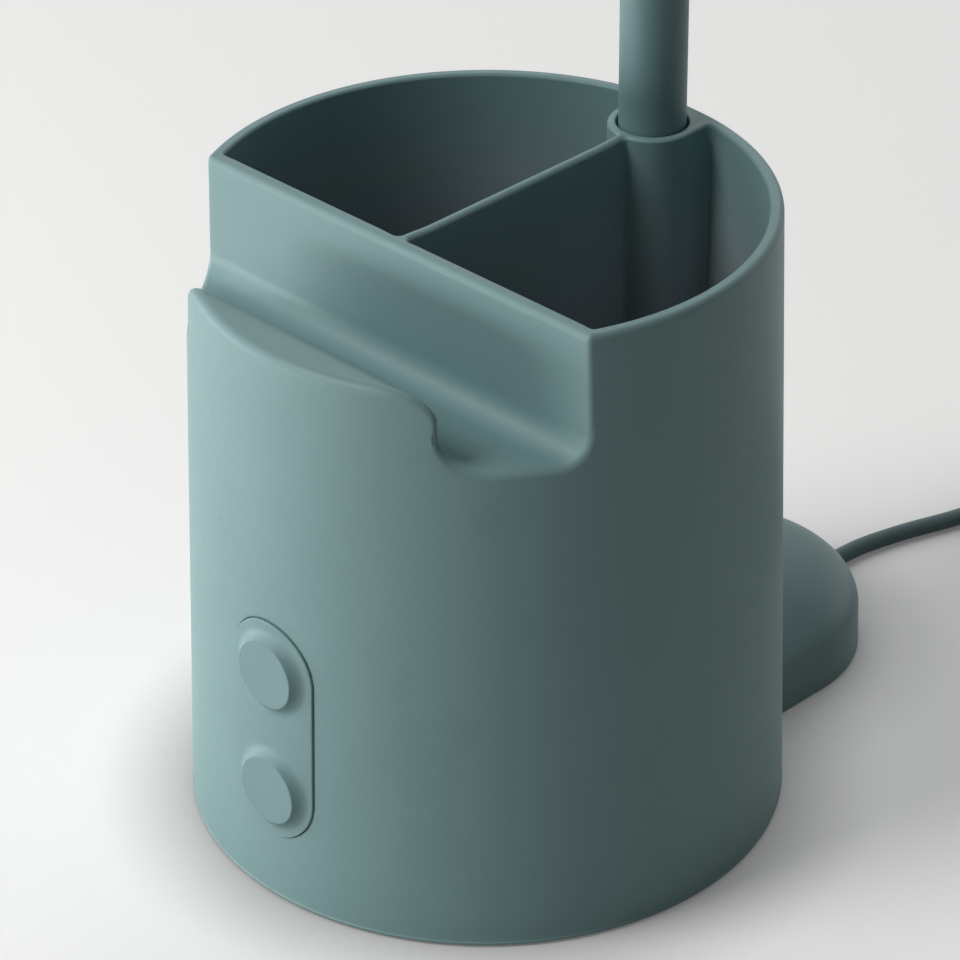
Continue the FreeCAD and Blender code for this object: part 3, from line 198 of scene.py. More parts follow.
def atHeight(flat, z):
    return np.column_stack([flat, np.broadcast_to(z, len(flat))])


def unit(v):
    return v / np.linalg.norm(v, axis=-1, keepdims=True)


def lathe(profile, count, centre=(0, 0)):
    # The profile's points are (radius, height) pairs, turned round an upright axis.
    a = fullTurn(count)
    r, z = profile[:, :1], profile[:, 1:]
    return zipped(centre[0] + r * np.cos(a), centre[1] + r * np.sin(a), z)


def latheAlongY(profile, count, x, z):
    # The profile's points are (radius, Y) pairs, turned round an axis that runs along Y.
    return lathe(profile, count, (x, z))[..., [0, 2, 1]]


def roundedEnds(profile, radius, steps=5):
    # A closed flat profile with every corner turned into a small arc.
    points = np.array(profile, float)
    padded = join([points[-1:], points, points[:2]])
    return roundCorners(padded, [0] + [radius] * len(points) + [0], steps)[2:-2]


def roundCorners(points, radii, steps=8):
    # A flat open line with each inner corner turned into an arc of the given radius.
    points = np.array(points, float)
    made = [points[:1]]
    for before, corner, after, radius in zip(points, points[1:], points[2:], radii):
        if radius <= 0:
            made.append(corner[None])
            continue
        inward, outward = unit(before - corner), unit(after - corner)
        half = math.acos(float(np.clip(inward @ outward, -1, 1))) / 2
        centre = corner + unit(inward + outward) * radius / math.sin(half)
        a, b = corner + inward * radius / math.tan(half), corner + outward * radius / math.tan(half)
        start = math.atan2(*(a - centre)[::-1])
        turn = (math.atan2(*(b - centre)[::-1]) - start + math.pi) % (2 * math.pi) - math.pi
        t = start + turn * np.linspace(0, 1, steps + 1)
        made.append(centre + radius * zipped(np.cos(t), np.sin(t)))
    return join(made + [points[-1:]])


# Camera

camera = {"azimuth": 45.092, "elevation": 31.453, "roll": -0.295, "focalPixels": 4314.4, "distance": 825.9,
          "target": (0, 0, 63.25), "shiftRight": 6.17, "shiftDown": 17.06, "picturePixels": 960}


@byName
def makeCamera(values):
    a, e, r = (math.radians(angle) for angle in (values.azimuth, values.elevation, values.roll))
    back = Vector((math.sin(a) * math.cos(e), -math.cos(a) * math.cos(e), math.sin(e)))
    right = Vector((math.cos(a), math.sin(a), 0))
    up = back.cross(right)
    right, up = right * math.cos(r) + up * math.sin(r), up * math.cos(r) - right * math.sin(r)
    data = bpy.data.cameras.new("camera")
    obj = newObject("camera", data)
    matrix = Matrix((right, up, back)).transposed().to_4x4()
    matrix.translation = (Vector(values.target) + back * values.distance) * mm
    obj.matrix_world = matrix
    data.sensor_width = 36
    data.lens = values.focalPixels / values.picturePixels * data.sensor_width
    data.shift_x = -values.shiftRight / values.picturePixels
    data.shift_y = values.shiftDown / values.picturePixels
    data.clip_start, data.clip_end = 0.05, 20
    bpy.context.scene.camera = obj


makeCamera(camera)
print("camera made")


# Materials

def addNode(tree, kind, inputs=(), **settings):
    # New node with its settings made, then each named input linked to a socket or given a value.
    node = tree.nodes.new("ShaderNode" + kind)
    for name, value in settings.items():
        setattr(node, name, value)
    setInputs(tree, node, inputs)
    return node


def setInputs(tree, node, inputs):
    for name, value in dict(inputs).items():
        if isinstance(value, bpy.types.NodeSocket):
            tree.links.new(value, node.inputs[name])
        else:
            node.inputs[name].default_value = value


def mix(tree, factor, a, b, **settings):
    return addNode(tree, "Mix", {"Factor": factor, "A": a, "B": b}, data_type="RGBA", **settings)


def ranged(tree, source, start, end, low, high):
    # The source's range from start to end, turned into the range from low to high.
    return addNode(tree, "MapRange", {"Value": source, "From Min": start, "From Max": end, "To Min": low,
                                      "To Max": high}).outputs["Result"]


surface = {"cloudSize": 28, "cloudShare": 0.65, "fineShare": 0.35, "speckRatio": 3.1, "noiseLow": 0.25,
           "noiseHigh": 0.75, "bumpStrength": 0.12, "bumpDistance": 0.06, "scatterDistance": 1.0}


def makeMaterial(name, colour, roughness, specular=0.5, metallic=0.0, grain=1.0, grainSize=0.45, mottle=0.05,
                 roughnessChange=0.06, subsurface=0.0, coat=0.0, brushed=(1, 1, 1), within=None):
    # Moulded or painted surface: slow mottling of the colour, fine grain in roughness and height.
    material = bpy.data.materials.new(name)
    material.use_nodes = True
    tree = material.node_tree
    where = addNode(tree, "TexCoord").outputs["Object"]
    where = addNode(tree, "Mapping", {"Vector": where, "Scale": brushed}).outputs["Vector"]

    def noise(size, detail, rough):
        return addNode(tree, "TexNoise", {"Vector": where, "Scale": 1 / (size * mm), "Detail": detail,
                                          "Roughness": rough}).outputs["Fac"]

    def spread(source, low, high):
        return ranged(tree, source, surface["noiseLow"], surface["noiseHigh"], low, high)

    cloud, fine = noise(surface["cloudSize"], 3, 0.55), noise(grainSize, 2, 0.6)
    speck = noise(grainSize * surface["speckRatio"], 3, 0.6)
    share = 0.0
    for source, weight in ((fine, surface["fineShare"]), (cloud, surface["cloudShare"])):
        share = addNode(tree, "Math", {0: spread(source, 0, 1), 1: weight, 2: share},
                        operation="MULTIPLY_ADD").outputs[0]
    colours = [(*(min(1, c * (1 + change)) for c in colour), 1) for change in (-mottle, mottle)]
    mixed = mix(tree, share, *colours).outputs["Result"]
    if within:
        # Painted shade: the mesh's own value, 0 outside and 1 far inside the cup, leads over to a second, greyer
        # colour that stands in for the shaded inside.
        paintedShadeShare = addNode(tree, "Attribute", attribute_name="within").outputs["Fac"]
        mixed = mix(tree, paintedShadeShare, mixed, (*within, 1)).outputs["Result"]
    bump = addNode(tree, "Bump", {"Strength": surface["bumpStrength"] * grain, "Height": fine,
                                  "Distance": surface["bumpDistance"] * mm})
    setInputs(tree, tree.nodes["Principled BSDF"], {
        "Base Color": mixed, "Normal": bump.outputs["Normal"],
        "Roughness": spread(speck, roughness - roughnessChange, roughness + roughnessChange),
        "Metallic": metallic, "Specular IOR Level": specular, "Coat Weight": coat, "Subsurface Weight": subsurface})
    if subsurface:
        setInputs(tree, tree.nodes["Principled BSDF"], {"Subsurface Scale": surface["scatterDistance"] * mm})
    return material


looks = {
    # The cup's second colour is painted shade for its inside, not a colour of the plastic.
    "cupPlastic": dict(colour=(0.190, 0.315, 0.325), roughness=0.50, specular=0.45, within=(0.262, 0.312, 0.335)),
    "keyRubber": dict(colour=(0.190, 0.310, 0.322), roughness=0.52, specular=0.4),
    "stemPaint": dict(colour=(0.150, 0.265, 0.276), roughness=0.50, specular=0.45, grain=0.8),
    "shadePlastic": dict(colour=(0.190, 0.295, 0.298), roughness=0.50, specular=0.45),
    "bracketMetal": dict(colour=(0.180, 0.270, 0.276), roughness=0.48, specular=0.45),
    "cordJacket": dict(colour=(0.120, 0.185, 0.195), roughness=0.55, specular=0.35, grain=1.3, grainSize=0.3),
    "tieStrap": dict(colour=(0.03, 0.032, 0.036), roughness=0.6, specular=0.35, grainSize=0.3),
    "plugRubber": dict(colour=(0.165, 0.255, 0.262), roughness=0.55, specular=0.35, grain=1.2),
    "padRubber": dict(colour=(0.010, 0.010, 0.011), roughness=0.8, specular=0.3, grain=1.5),
    "platePlastic": dict(colour=(0.020, 0.022, 0.024), roughness=0.6),
    "ballastIron": dict(colour=(0.10, 0.10, 0.105), roughness=0.62, metallic=0.9, grain=2.5, grainSize=0.8,
                        roughnessChange=0.15),
    "screwSteel": dict(colour=(0.55, 0.55, 0.56), roughness=0.33, metallic=1.0, brushed=(1, 1, 6), grainSize=0.25,
                       roughnessChange=0.1),
    "bushPlastic": dict(colour=(0.68, 0.66, 0.60), roughness=0.4, subsurface=0.1),
    "switchPlastic": dict(colour=(0.015, 0.015, 0.017), roughness=0.4),
    "boardGreen": dict(colour=(0.012, 0.12, 0.045), roughness=0.35, coat=0.3, mottle=0.12, grainSize=0.3),
    "chipBlack": dict(colour=(0.012, 0.012, 0.013), roughness=0.45),
    "connectorWhite": dict(colour=(0.70, 0.68, 0.62), roughness=0.4, subsurface=0.1),
    "leadJacket": dict(colour=(0.012, 0.012, 0.014), roughness=0.5),
    "contactBrass": dict(colour=(0.75, 0.52, 0.20), roughness=0.28, metallic=1.0, grainSize=0.2),
    "sinkAluminium": dict(colour=(0.70, 0.71, 0.72), roughness=0.35, metallic=1.0, brushed=(1, 8, 1),
                          grainSize=0.25, roughnessChange=0.08),
    "boardWhite": dict(colour=(0.76, 0.76, 0.74), roughness=0.35, coat=0.2),
    "ledPhosphor": dict(colour=(0.80, 0.62, 0.14), roughness=0.35),
    "diffuserOpal": dict(colour=(0.82, 0.82, 0.80), roughness=0.45, subsurface=0.35, mottle=0.02),
}
materials = {name: makeMaterial(name, **values) for name, values in looks.items()}
print("materials made")


# Cord. Its free route and its tail follow the CAD model's points. The coil's turns are more points between them.

cord = {
    "diameter": 3.6,
    "route": ((0, 104.8, 1.95), (0, 108.2, 1.8), (0.3, 112.0, 1.8), (0.9, 115.2, 1.8), (1.6, 118.2, 1.8),
              (2.95, 123.1, 1.8), (4.5, 127.8, 1.8), (6.65, 133.6, 1.8), (8.3, 139.0, 1.8), (9.3, 145.5, 1.8),
              (9.6, 151.5, 1.8)),
    "coilCentre": (37.8, 157.0), "outerRadius": 28.2, "innerRadius": 13.8,
    "lowerTurns": 5, "upperTurns": 5.5, "lowerHeight": 1.8, "upperHeight": 5.4, "riseTurns": 0.5,
    "pointsPerTurn": 24,
    "tail": ((66.0, 151.0, 5.4), (67.2, 141.5, 4.0), (67.2, 134.0, 4.0)),
    "length": 1.455,
}


@byName
def makeCord(values):
    # The lower layer winds inwards clockwise from the coil's left side; the upper one winds outwards to its right.
    count = int(values.lowerTurns * values.pointsPerTurn)
    turn = math.pi - 2 * math.pi * values.lowerTurns * np.linspace(0, 1, count + 1)
    radius = np.linspace(values.outerRadius, values.innerRadius, count + 1)
    upper = int(values.upperTurns * values.pointsPerTurn)
    turnBack = turn[-1] - 2 * math.pi * values.upperTurns * np.linspace(0, 1, upper + 1)[1:]
    radiusBack = np.linspace(values.innerRadius, values.outerRadius, upper + 1)[1:]
    rise = np.minimum(1, np.arange(1, upper + 1) / (values.riseTurns * values.pointsPerTurn))
    low, high = values.lowerHeight, values.upperHeight
    z = join([np.full(count + 1, low), low + (high - low) * smooth(rise)])
    turn, radius = join([turn, turnBack]), join([radius, radiusBack])
    x0, y0 = values.coilCentre
    coil = zipped(x0 + radius * np.cos(turn), y0 + radius * np.sin(turn), z)
    points = join([np.array(values.route, float), coil, np.array(values.tail, float)]) * mm
    curve = bpy.data.curves.new("powerCord", "CURVE")
    curve.dimensions = "3D"
    spline = curve.splines.new("NURBS")
    spline.points.add(len(points) - 1)
    spline.points.foreach_set("co", np.column_stack([points, np.ones(len(points))]).ravel())
    spline.order_u = 3
    spline.use_endpoint_u = True
    spline.resolution_u = 4
    curve.bevel_depth = values.diameter / 2 * mm
    curve.bevel_resolution = 6
    curve.use_fill_caps = True
    curve.resolution_u = 4
    return place("powerCord", curve, "base", "cord_jacket", "power_cord", "cord_coil", "cord_tail")


powerCord = makeCord(cord)
print("cord made")


# Cup. Its outside is a slightly drafted cone, cut open in front by a trough that is one profile along X.

# The values from uprightEnd to lipArc are lengths along that profile. The mouth's angles, in degrees from the front,
# are where the columns of the mesh that start there reach the band round the key plate.

cup = {
    "height": 127.5, "rimRadius": 55.0, "footRadius": 58.5, "skirtGap": 0.4, "footRound": 0.35, "footLine": 1.05,
    "footLedge": 0.14, "wall": 2.6,
    "rimRound": 1.1, "wallTopRound": 1.4, "wallInnerRound": 0.35,
    "wallY": -24.0, "lipY": -43.8, "troughFloor": 102.3, "lipTop": 117.2,
    "wallFillet": 5.0, "lipFillet": 6.0, "lipRound": 5.5,
    "uprightRound": 1.3, "sideRound": 1.8, "lipEndRound": 0.8, "lipFrontRound": 2.0,
    "floorTop": 30.0, "floorBottom": 27.5, "floorFillet": 1.0, "innerRound": 0.7,
    "cornerRound": 1.2, "dividerHalf": 1.05, "dividerFillet": 1.5, "dividerDropFront": 0.35, "dividerDropBack": 0.2,
    "dividerRise": 6.0, "socketRound": 1.0,
    "stemY": 45.1, "boreRadius": 7.0, "boreRound": 0.4, "socketRadius": 8.6,
    "pillX": 0.45, "pillHalfWidth": 10.65, "pillLow": 24.95, "pillHigh": 50.7, "pillEdge": 0.2, "seatY": -52.3,
    "bandTop": 68.0, "bandBottom": 7.0, "bandHalfAngle": 16.5, "mouthAngles": (73, 66, 41, 36.5, 34, 28, 0),
    "uprightEnd": 16.0, "floorBegin": 24.0, "lipBefore": 6.0, "lipArc": 8.6, "lipFrontShare": 0.8,
    "lipFrontFrom": 1.0, "lipFrontTo": 3.0, "ledgeNear": 0.05, "ledgeFar": 0.08, "skirtTaper": 0.3,
    # The next line's values shape the painted shade inside the cup.
    "tintDepth": 34.0, "tintReach": 0.7, "tintBlur": 0.6, "tintTop": 1.0,
}
cupRows = {"profileArc": 60, "edgeFine": 900, "lipFine": 300, "edge": 240, "strip": 9, "bend": 20, "back": 100,
           "upper": 16, "band": 16, "ring": 12, "foot": 7, "round": 9, "smallRound": 6, "inside": 12, "bore": 96,
           "edgeBlur": 25, "rimBlur": 17, "innerBlur": 9}


def coneRadius(z):
    # Falls evenly from the foot's radius to the rim's over the cup's height.
    return cup["footRadius"] + (cup["rimRadius"] - cup["footRadius"]) * z / cup["height"]


def coneY(x, z):
    # Y of the outside's front half: minus the root of the radius squared less X squared.
    return -np.sqrt(coneRadius(z) ** 2 - x ** 2)


def fromSpine(x, z, spineX, low, high):
    # Nearest heights on an upright line from low to high, and the unit directions from there to the points.
    spine = np.clip(z, low, high)
    return spine, unit(zipped(x - spineX, z - spine))


def coneAngle(points):
    return np.arctan2(points[:, 0], -points[:, 1])


def onCone(angle, z, inset=0.0):
    # Point of the cup's outside at an angle from the front and a height.
    r = coneRadius(z) - inset
    return zipped(r * np.sin(angle), -r * np.cos(angle), z)


def troughProfile(c):
    # The trough's (y, z) profile, from the front wall's top down, across and over the lip, and its length so far.
    corners = [(c.wallY, c.height - c.wallTopRound), (c.wallY, c.troughFloor),
               (c.lipY, c.troughFloor), (c.lipY, c.lipTop), (-70, c.lipTop)]
    points = roundCorners(corners, [c.wallFillet, c.lipFillet, c.lipRound], cupRows["profileArc"])
    along = join([[0], np.cumsum(np.linalg.norm(np.diff(points, axis=0), axis=1))])
    return points, along


@byName
def makeCup(c):
    patches, n = Patches(), SimpleNamespace(**cupRows)
    profile, along = troughProfile(c)
    mirror = np.array([-1, 1, 1])

    def onTrough(x, s):
        return zipped(x, np.interp(s, along, profile[:, 0]), np.interp(s, along, profile[:, 1]))

    # Right half of the sharp edge between trough and cone: x is what the cone leaves at each profile point,
    # and over the lip's flat top the edge is the cone's circle.
    lipFlat = np.interp(-c.lipY + c.lipRound, -profile[n.profileArc:, 0], along[n.profileArc:])
    s = np.linspace(0, lipFlat, n.edgeFine)
    edge = onTrough(0, s)
    x = np.sqrt(coneRadius(edge[:, 2]) ** 2 - edge[:, 1] ** 2)
    topRadius = coneRadius(c.lipTop)
    angle = np.linspace(math.atan2(x[-1], -edge[-1, 1]), 0, n.lipFine)[1:]
    x = join([x, topRadius * np.sin(angle)])
    s = join([s, lipFlat + topRadius * np.cos(angle) + edge[-1, 1]])
    travelled = join([[0], np.cumsum(np.linalg.norm(np.diff(onTrough(x, s), axis=0), axis=1))])
    even = np.linspace(0, travelled[-1], n.edge)
    x, s = np.interp(even, travelled, x), np.interp(even, travelled, s)
    x[-1] = 0
    edge = onTrough(x, s)

    # Directions away from the edge in each surface. In the unrolled trough they are normals of the line (x, s).
    dx, ds = np.gradient(x), np.gradient(s)
    size = np.hypot(dx, ds)
    nx, ns = ds / size, -dx / size
    nx[-1], ns[-1] = 0, 1
    step = 0.01
    down = (onTrough(x, s + step) - onTrough(x, s - step)) / (2 * step)
    inTrough = unit(zipped(-nx, -ns * down[:, 1], -ns * down[:, 2]))
    slope = (c.footRadius - c.rimRadius) / c.height

    def coneNormals(angle):
        return unit(zipped(np.sin(angle), -np.cos(angle), slope))

    inCone = unit(np.cross(coneNormals(coneAngle(edge)), unit(np.gradient(edge, axis=0))))
    inCone[-1, 0] = 0
    corner = np.arccos(np.clip((inTrough * inCone).sum(1), -1, 1))

    # Rounding radius along the edge, and how far it reaches into each surface.
    lipStart = along[np.argmin(abs(profile[:, 0] - c.lipY))]
    floorEnd, bendStart = lipStart - c.lipBefore, lipFlat - c.lipArc
    places = [0, c.uprightEnd, c.floorBegin, floorEnd, lipStart, bendStart,
              lipFlat - c.lipFrontFrom, lipFlat + c.lipFrontTo]
    sizes = [c.uprightRound] * 2 + [c.sideRound] * 2 + [c.lipEndRound] * 2
    sizes += [c.lipFrontRound * c.lipFrontShare, c.lipFrontRound]
    reach = blurred(np.interp(s, places, sizes), n.edgeBlur) / np.tan(corner / 2)
    reach = blurred(reach, n.edgeBlur)
    radius = reach * np.tan(corner / 2)
    handle = (4 / 3 * np.tan((math.pi - corner) / 4) * radius)[:, None]

    # The rounded strip: cubic curves from the trough, square to the edge, to the cone.
    innerX, innerS = x - nx * reach, s - ns * reach
    innerX[-1] = 0
    inner = onTrough(innerX, innerS)
    outer = edge + inCone * reach[:, None]
    outerAngle, outerZ = coneAngle(outer), outer[:, 2]
    outerAngle[-1] = 0
    outer = onCone(outerAngle, outerZ)
    outward = coneNormals(outerAngle)
    inCone = unit(inCone - outward * (inCone * outward).sum(1)[:, None])
    v = np.linspace(0, 1, n.strip)[:, None, None]
    a, b = inner - inTrough * handle, outer - inCone * handle
    strip = (1 - v) ** 3 * inner + 3 * v * (1 - v) ** 2 * a + 3 * v * v * (1 - v) * b + v ** 3 * outer
    patches.add(strip).add(strip * mirror)

    # Trough between the two strips: straight rows down to the lip's inner face, then rows that bend into its arc.
    split = int(np.argmax(s > bendStart))
    u = np.linspace(-1, 1, 2 * (n.edge - 1 - split) + 1)
    patches.add(onTrough(innerX[:split + 1, None] * u, innerS[:split + 1, None]))
    bentX = join([-innerX[split:], innerX[split:-1][::-1]])
    bentS = join([innerS[split:], innerS[split:-1][::-1]])
    t = shares(n.bend)
    patches.add(onTrough((1 - t) * u * innerX[split] + t * bentX, between(innerS[split], bentS, t)))

    # Outside of the cup above the key plate: columns from the rim and the trough's mouth down to one level.
    def bothSides(values, sign):
        return join([values, sign * values[1:-1][::-1]])

    back = np.linspace(math.pi, outerAngle[0], n.back)[:-1]
    marks = [0, c.uprightEnd, floorEnd, lipStart, bendStart, lipFlat, s[-1]]
    lowMouth = np.interp(s, marks, np.radians(c.mouthAngles))
    topAngle = bothSides(join([back, outerAngle]), -1)
    topZ = bothSides(join([np.full(len(back), outerZ[0]), outerZ]), 1)
    lowAngle = bothSides(join([np.linspace(math.pi, lowMouth[0], len(back), endpoint=False), lowMouth]), -1)
    t = shares(n.upper)
    patches.addRound(onCone(between(topAngle, lowAngle, t), between(topZ, c.bandTop, t)))

    # Level band round the key plate's hole. In front, rings run from the hole's outline to the band's edges.
    levels = np.linspace(c.bandTop, c.bandBottom, n.band)
    first, last = np.flatnonzero(np.abs(lowAngle) <= math.radians(c.bandHalfAngle))[[0, -1]]
    around = join([lowAngle[last:], lowAngle[:first + 1]])
    patches.add(onCone(around, levels[:, None]))
    span = lowAngle[first:last + 1]
    frameAngle = join([span[:-1], np.full(len(levels) - 1, span[-1]), span[:0:-1],
                       np.full(len(levels) - 1, span[0])])
    frameZ = join([np.full(len(span) - 1, c.bandTop), levels[:-1],
                   np.full(len(span) - 1, c.bandBottom), levels[:0:-1]])
    frameX = coneRadius(frameZ) * np.sin(frameAngle)
    spine, aside = fromSpine(frameX, frameZ, c.pillX, c.pillLow, c.pillHigh)

    def holeRow(extra, depth):
        # Outline of the hole, wider by extra, let into the cup by a depth.
        reachOut = (c.pillHalfWidth + extra) * aside
        px, pz = c.pillX + reachOut[:, 0], spine + reachOut[:, 1]
        return zipped(px, coneY(px, pz) + depth, pz)

    e = c.pillEdge
    start = holeRow(e, 0)
    t = shares(n.ring)
    patches.addRound(onCone(between(coneAngle(start), frameAngle, t), between(start[:, 2], frameZ, t)))
    bottom = holeRow(0, 0)
    bottom[:, 1] = c.seatY
    patches.addRound(rows([start, holeRow(e * 0.5, e * 0.13), holeRow(e * 0.13, e * 0.5), holeRow(0, e), bottom]))
    patches.fill([bottom])

    # Foot with its fine ledge, and the inside of the skirt, up to the underside of the compartments' floor.
    r, lineZ, gap, near, far = c.footRound, c.footLine, c.skirtGap, c.ledgeNear, c.ledgeFar
    turn, ease = quarterTurn(n.smallRound), np.linspace(0, 1, n.foot)
    z = join([np.linspace(c.bandBottom, lineZ + far, n.foot), [lineZ + near, lineZ - near, lineZ - far],
              gap + r * (1 - np.sin(turn)), [gap, gap + c.skirtTaper, c.floorBottom]])
    inset = join([c.footLedge * join([smooth(ease), [0.95, 0.05, 0]]), r * (1 - np.cos(turn)),
                  [c.wall - c.skirtTaper, c.wall, c.wall]])
    foot = onCone(lowAngle, z[:, None], inset[:, None])
    patches.addRound(foot)

    # Rim: the outline of cone, rounded uprights and front wall, rolled inwards and up to the flat top.
    wall = inner[0] * u[1:-1, None]
    wall[:, 1:] = inner[0, 1:]
    backRow = onCone(back, outerZ[0])
    upright = strip[:, 0]
    contour = join([upright, backRow[::-1], (backRow * mirror)[1:], (upright * mirror)[::-1], wall])
    normal = flatNormals(contour[:, :2])
    isWall = np.abs(contour[:, 1] - c.wallY) < 0.05
    topRound = blurred(np.where(isWall, c.wallTopRound, c.rimRound).astype(float), n.rimBlur, "wrap")
    turn = quarterTurn(n.round)
    roll = [np.column_stack([contour[:, :2] - normal * (topRound * (1 - math.cos(f)))[:, None],
                             contour[:, 2] + (c.height - contour[:, 2]) * math.sin(f)]) for f in turn]
    patches.addRound(rows(roll))

    # Right compartment's outline, anticlockwise: front wall, outer wall, socket and divider, with rounded corners.
    # The letters k, d and q are the corners' radii, h is half the divider, and the socket has radius sr at Y sy.
    cavity, wallIn, h = c.rimRadius - c.wall, c.wallY + c.wall, c.dividerHalf
    k, d, q, sr, sy = c.cornerRound, c.dividerFillet, c.socketRound, c.socketRadius, c.stemY
    frontCentre = (math.sqrt((cavity - k) ** 2 - (wallIn + k) ** 2), wallIn + k)
    frontTurn = math.degrees(math.atan2(frontCentre[1], frontCentre[0]))
    backCentre = (sr + q, math.sqrt((cavity - q) ** 2 - (sr + q) ** 2))
    backTurn = math.degrees(math.atan2(backCentre[1], backCentre[0]))
    socketCentre = (h + q, sy - math.sqrt((sr + q) ** 2 - (h + q) ** 2))
    socketTurn = math.degrees(math.atan2(socketCentre[1] - sy, socketCentre[0]))
    pieces = [
        (arc((h + d, wallIn + d), d, 180, 270, 14), "divider end"),
        (line((h + d, wallIn), (frontCentre[0], wallIn), 60), ""),
        (arc(frontCentre, k, -90, frontTurn, 10), ""),
        (arc((0, 0), cavity, frontTurn, backTurn, 150), ""),
        (arc(backCentre, q, backTurn, 180, 10), ""),
        (line((sr, backCentre[1]), (sr, sy), 10), ""),
        (arc((0, sy), sr, 0, socketTurn, 30), ""),
        (arc(socketCentre, q, 180 + socketTurn, 180, 10), "socket end"),
        (line((h, socketCentre[1]), (h, wallIn + d), 90), "divider"),
    ]

    def dividerShare(points, kind):
        ease = smooth(np.linspace(0, 1, len(points), endpoint=False))
        return {"divider end": 1 - ease, "socket end": ease, "divider": 1 + 0 * ease}.get(kind, 0 * ease)

    loop = join([points for points, kind in pieces])
    weight = join([dividerShare(*piece) for piece in pieces])
    onDivider = join([np.full(len(points), kind == "divider") for points, kind in pieces])
    normal = flatNormals(loop)
    normal[onDivider] = normal[0] = (-1, 0)
    plain = np.where(np.abs(loop[:, 1] - wallIn) < 0.01, c.wallInnerRound, c.innerRound)
    plain = blurred(plain, n.innerBlur, "wrap", np.ones)
    roundTop = plain + (h - plain) * weight

    # The divider's top dips between its ends, and its round meets the other compartment's in the middle.
    ends = np.minimum(loop[:, 1] - (wallIn + d), socketCentre[1] - loop[:, 1])
    share = (loop[:, 1] - wallIn) / (socketCentre[1] - wallIn)
    drop = c.dividerDropFront + (c.dividerDropBack - c.dividerDropFront) * share
    top = c.height - np.where(onDivider, drop * smooth(ends / c.dividerRise), 0)
    f, floorZ = c.floorFillet, c.floorTop
    inside = [atHeight(loop - normal * (f * (1 - math.sin(b))), floorZ + f * (1 - math.cos(b)))
              for b in quarterTurn(n.smallRound)]
    inside += [atHeight(loop, floorZ + f + (top - roundTop - floorZ - f) * up)
               for up in np.linspace(0, 1, n.inside)[1:]]
    inside += [atHeight(loop + normal * (roundTop * (1 - math.cos(b)))[:, None],
                        top - roundTop + roundTop * math.sin(b)) for b in turn[1:]]
    inside = rows(inside)
    inside[-1, onDivider, 0] = inside[-1, 0, 0] = 0
    for side in (1, mirror):
        patches.addRound(inside * side).fill([inside[0] * side])

    # Flat top between the rim, the compartments with the divider, and the stem's bore.
    chain = join([inside[-1][~onDivider], inside[-1][np.flatnonzero(onDivider)[:1]]])
    hole = join([chain, (chain * mirror)[::-1][1:-1]])
    b, e, high = c.boreRadius, c.boreRound, c.height - c.boreRound
    boreProfile = np.array([(b, c.floorBottom), (b, 60), (b, 100), (b, high)]
                           + [(b + e * (1 - math.cos(t)), high + e * math.sin(t)) for t in turn[1:]])
    bore = lathe(boreProfile, n.bore, (0, sy))
    patches.addRound(bore)
    patches.fill([roll[-1], hole, bore[-1]])
    patches.fill([foot[-1], bore[0]])
    shell = makePiece("cupShell", patches, "base", "cup_plastic", "cup_body")

    # Painted shade: the value rises behind the inner walls and with depth, where the inside falls into shade.
    spots = np.empty(len(shell.data.vertices) * 3)
    shell.data.vertices.foreach_get("co", spots)
    x, y, z = spots.reshape(-1, 3).T / mm
    walls = smooth((cavity + c.tintReach - np.hypot(x, y)) / c.tintBlur)
    walls *= smooth((y - wallIn + c.tintReach) / c.tintBlur)
    paintedShadeShare = walls * smooth((c.height - c.tintTop - z) / c.tintDepth)
    shell.data.attributes.new("within", "FLOAT", "POINT").data.foreach_set("value", paintedShadeShare)


makeCup(cup)
print("cup made")


# Heel. Level loops round its end: half-width and height follow a quarter ellipse above an upright skirt.

heel = {"halfWidth": 29.3, "endY": 67.35, "skirt": 9.35, "dome": 13.5, "wall": 2.4, "gap": 0.4, "footRound": 0.5,
        "flare": 0.3}


def heelLoops(c, inset):
    turn, b = quarterTurn(6)[::-1], quarterTurn(40)[1:]
    r, low = c.footRound if inset == 0 else 0, c.gap
    upright = np.linspace(low + r, c.skirt, 5)[1:]
    width = join([-r * (1 - np.cos(turn)), 0 * upright, 0 * b]) + c.halfWidth - inset
    width[-len(b):] *= np.cos(b)
    z = join([low + r * (1 - np.sin(turn)), upright, c.skirt + (c.dome - inset) * np.sin(b)])
    width += c.flare * np.clip(1 - z / c.skirt, 0, 1)
    # Each loop starts and ends inside the cup's wall, runs straight back and goes round the end.
    start = np.sqrt((coneRadius(z) - cup["wall"] / 2) ** 2 - width ** 2)[:, None]
    width, z = width[:, None], z[:, None]
    t, a = np.linspace(0, 1, 24), np.radians(np.linspace(0, 180, 81))[1:-1]
    along = start + (c.endY - start) * t
    x = join([width + 0 * t, width * np.cos(a), -width + 0 * t], 1)
    y = join([along, c.endY + width * np.sin(a), along[:, ::-1]], 1)
    return zipped(x, y, z)


@byName
def makeHeel(c):
    patches = Patches()
    outside, inside = heelLoops(c, 0), heelLoops(c, c.wall)
    for patch in (outside, inside, rows([outside[0], inside[0]]), rows([outside[:, 0], inside[:, 0]]),
                  rows([outside[:, -1], inside[:, -1]])):
        patches.add(patch)
    return makePiece("cupHeel", patches, "base", "cup_plastic", "cup_body")


makeHeel(heel)
print("heel made")


# Keys. The plate follows the cup's cone, and rises to each button's flat face along a hollow curve.

keys = {
    "x": 0.45, "halfWidth": 10.5, "low": 24.95, "high": 50.7, "edge": 0.18, "proud": 0.4, "backY": -52.3,
    "upper": (0.5, 50.45), "lower": (0.9, 25.0), "rise": 1.65, "faceRadius": 6.86, "collarBase": 9.5, "hollow": 2.5,
    "edgeBlur": 0.22, "capRadius": 6.78, "capGap": 0.02, "capEdge": 0.04,
    "flange": 2.2, "flangeThickness": 1.0, "capFlange": 1.3, "shareStep": 0.005, "fineRadius": 7.5,
}


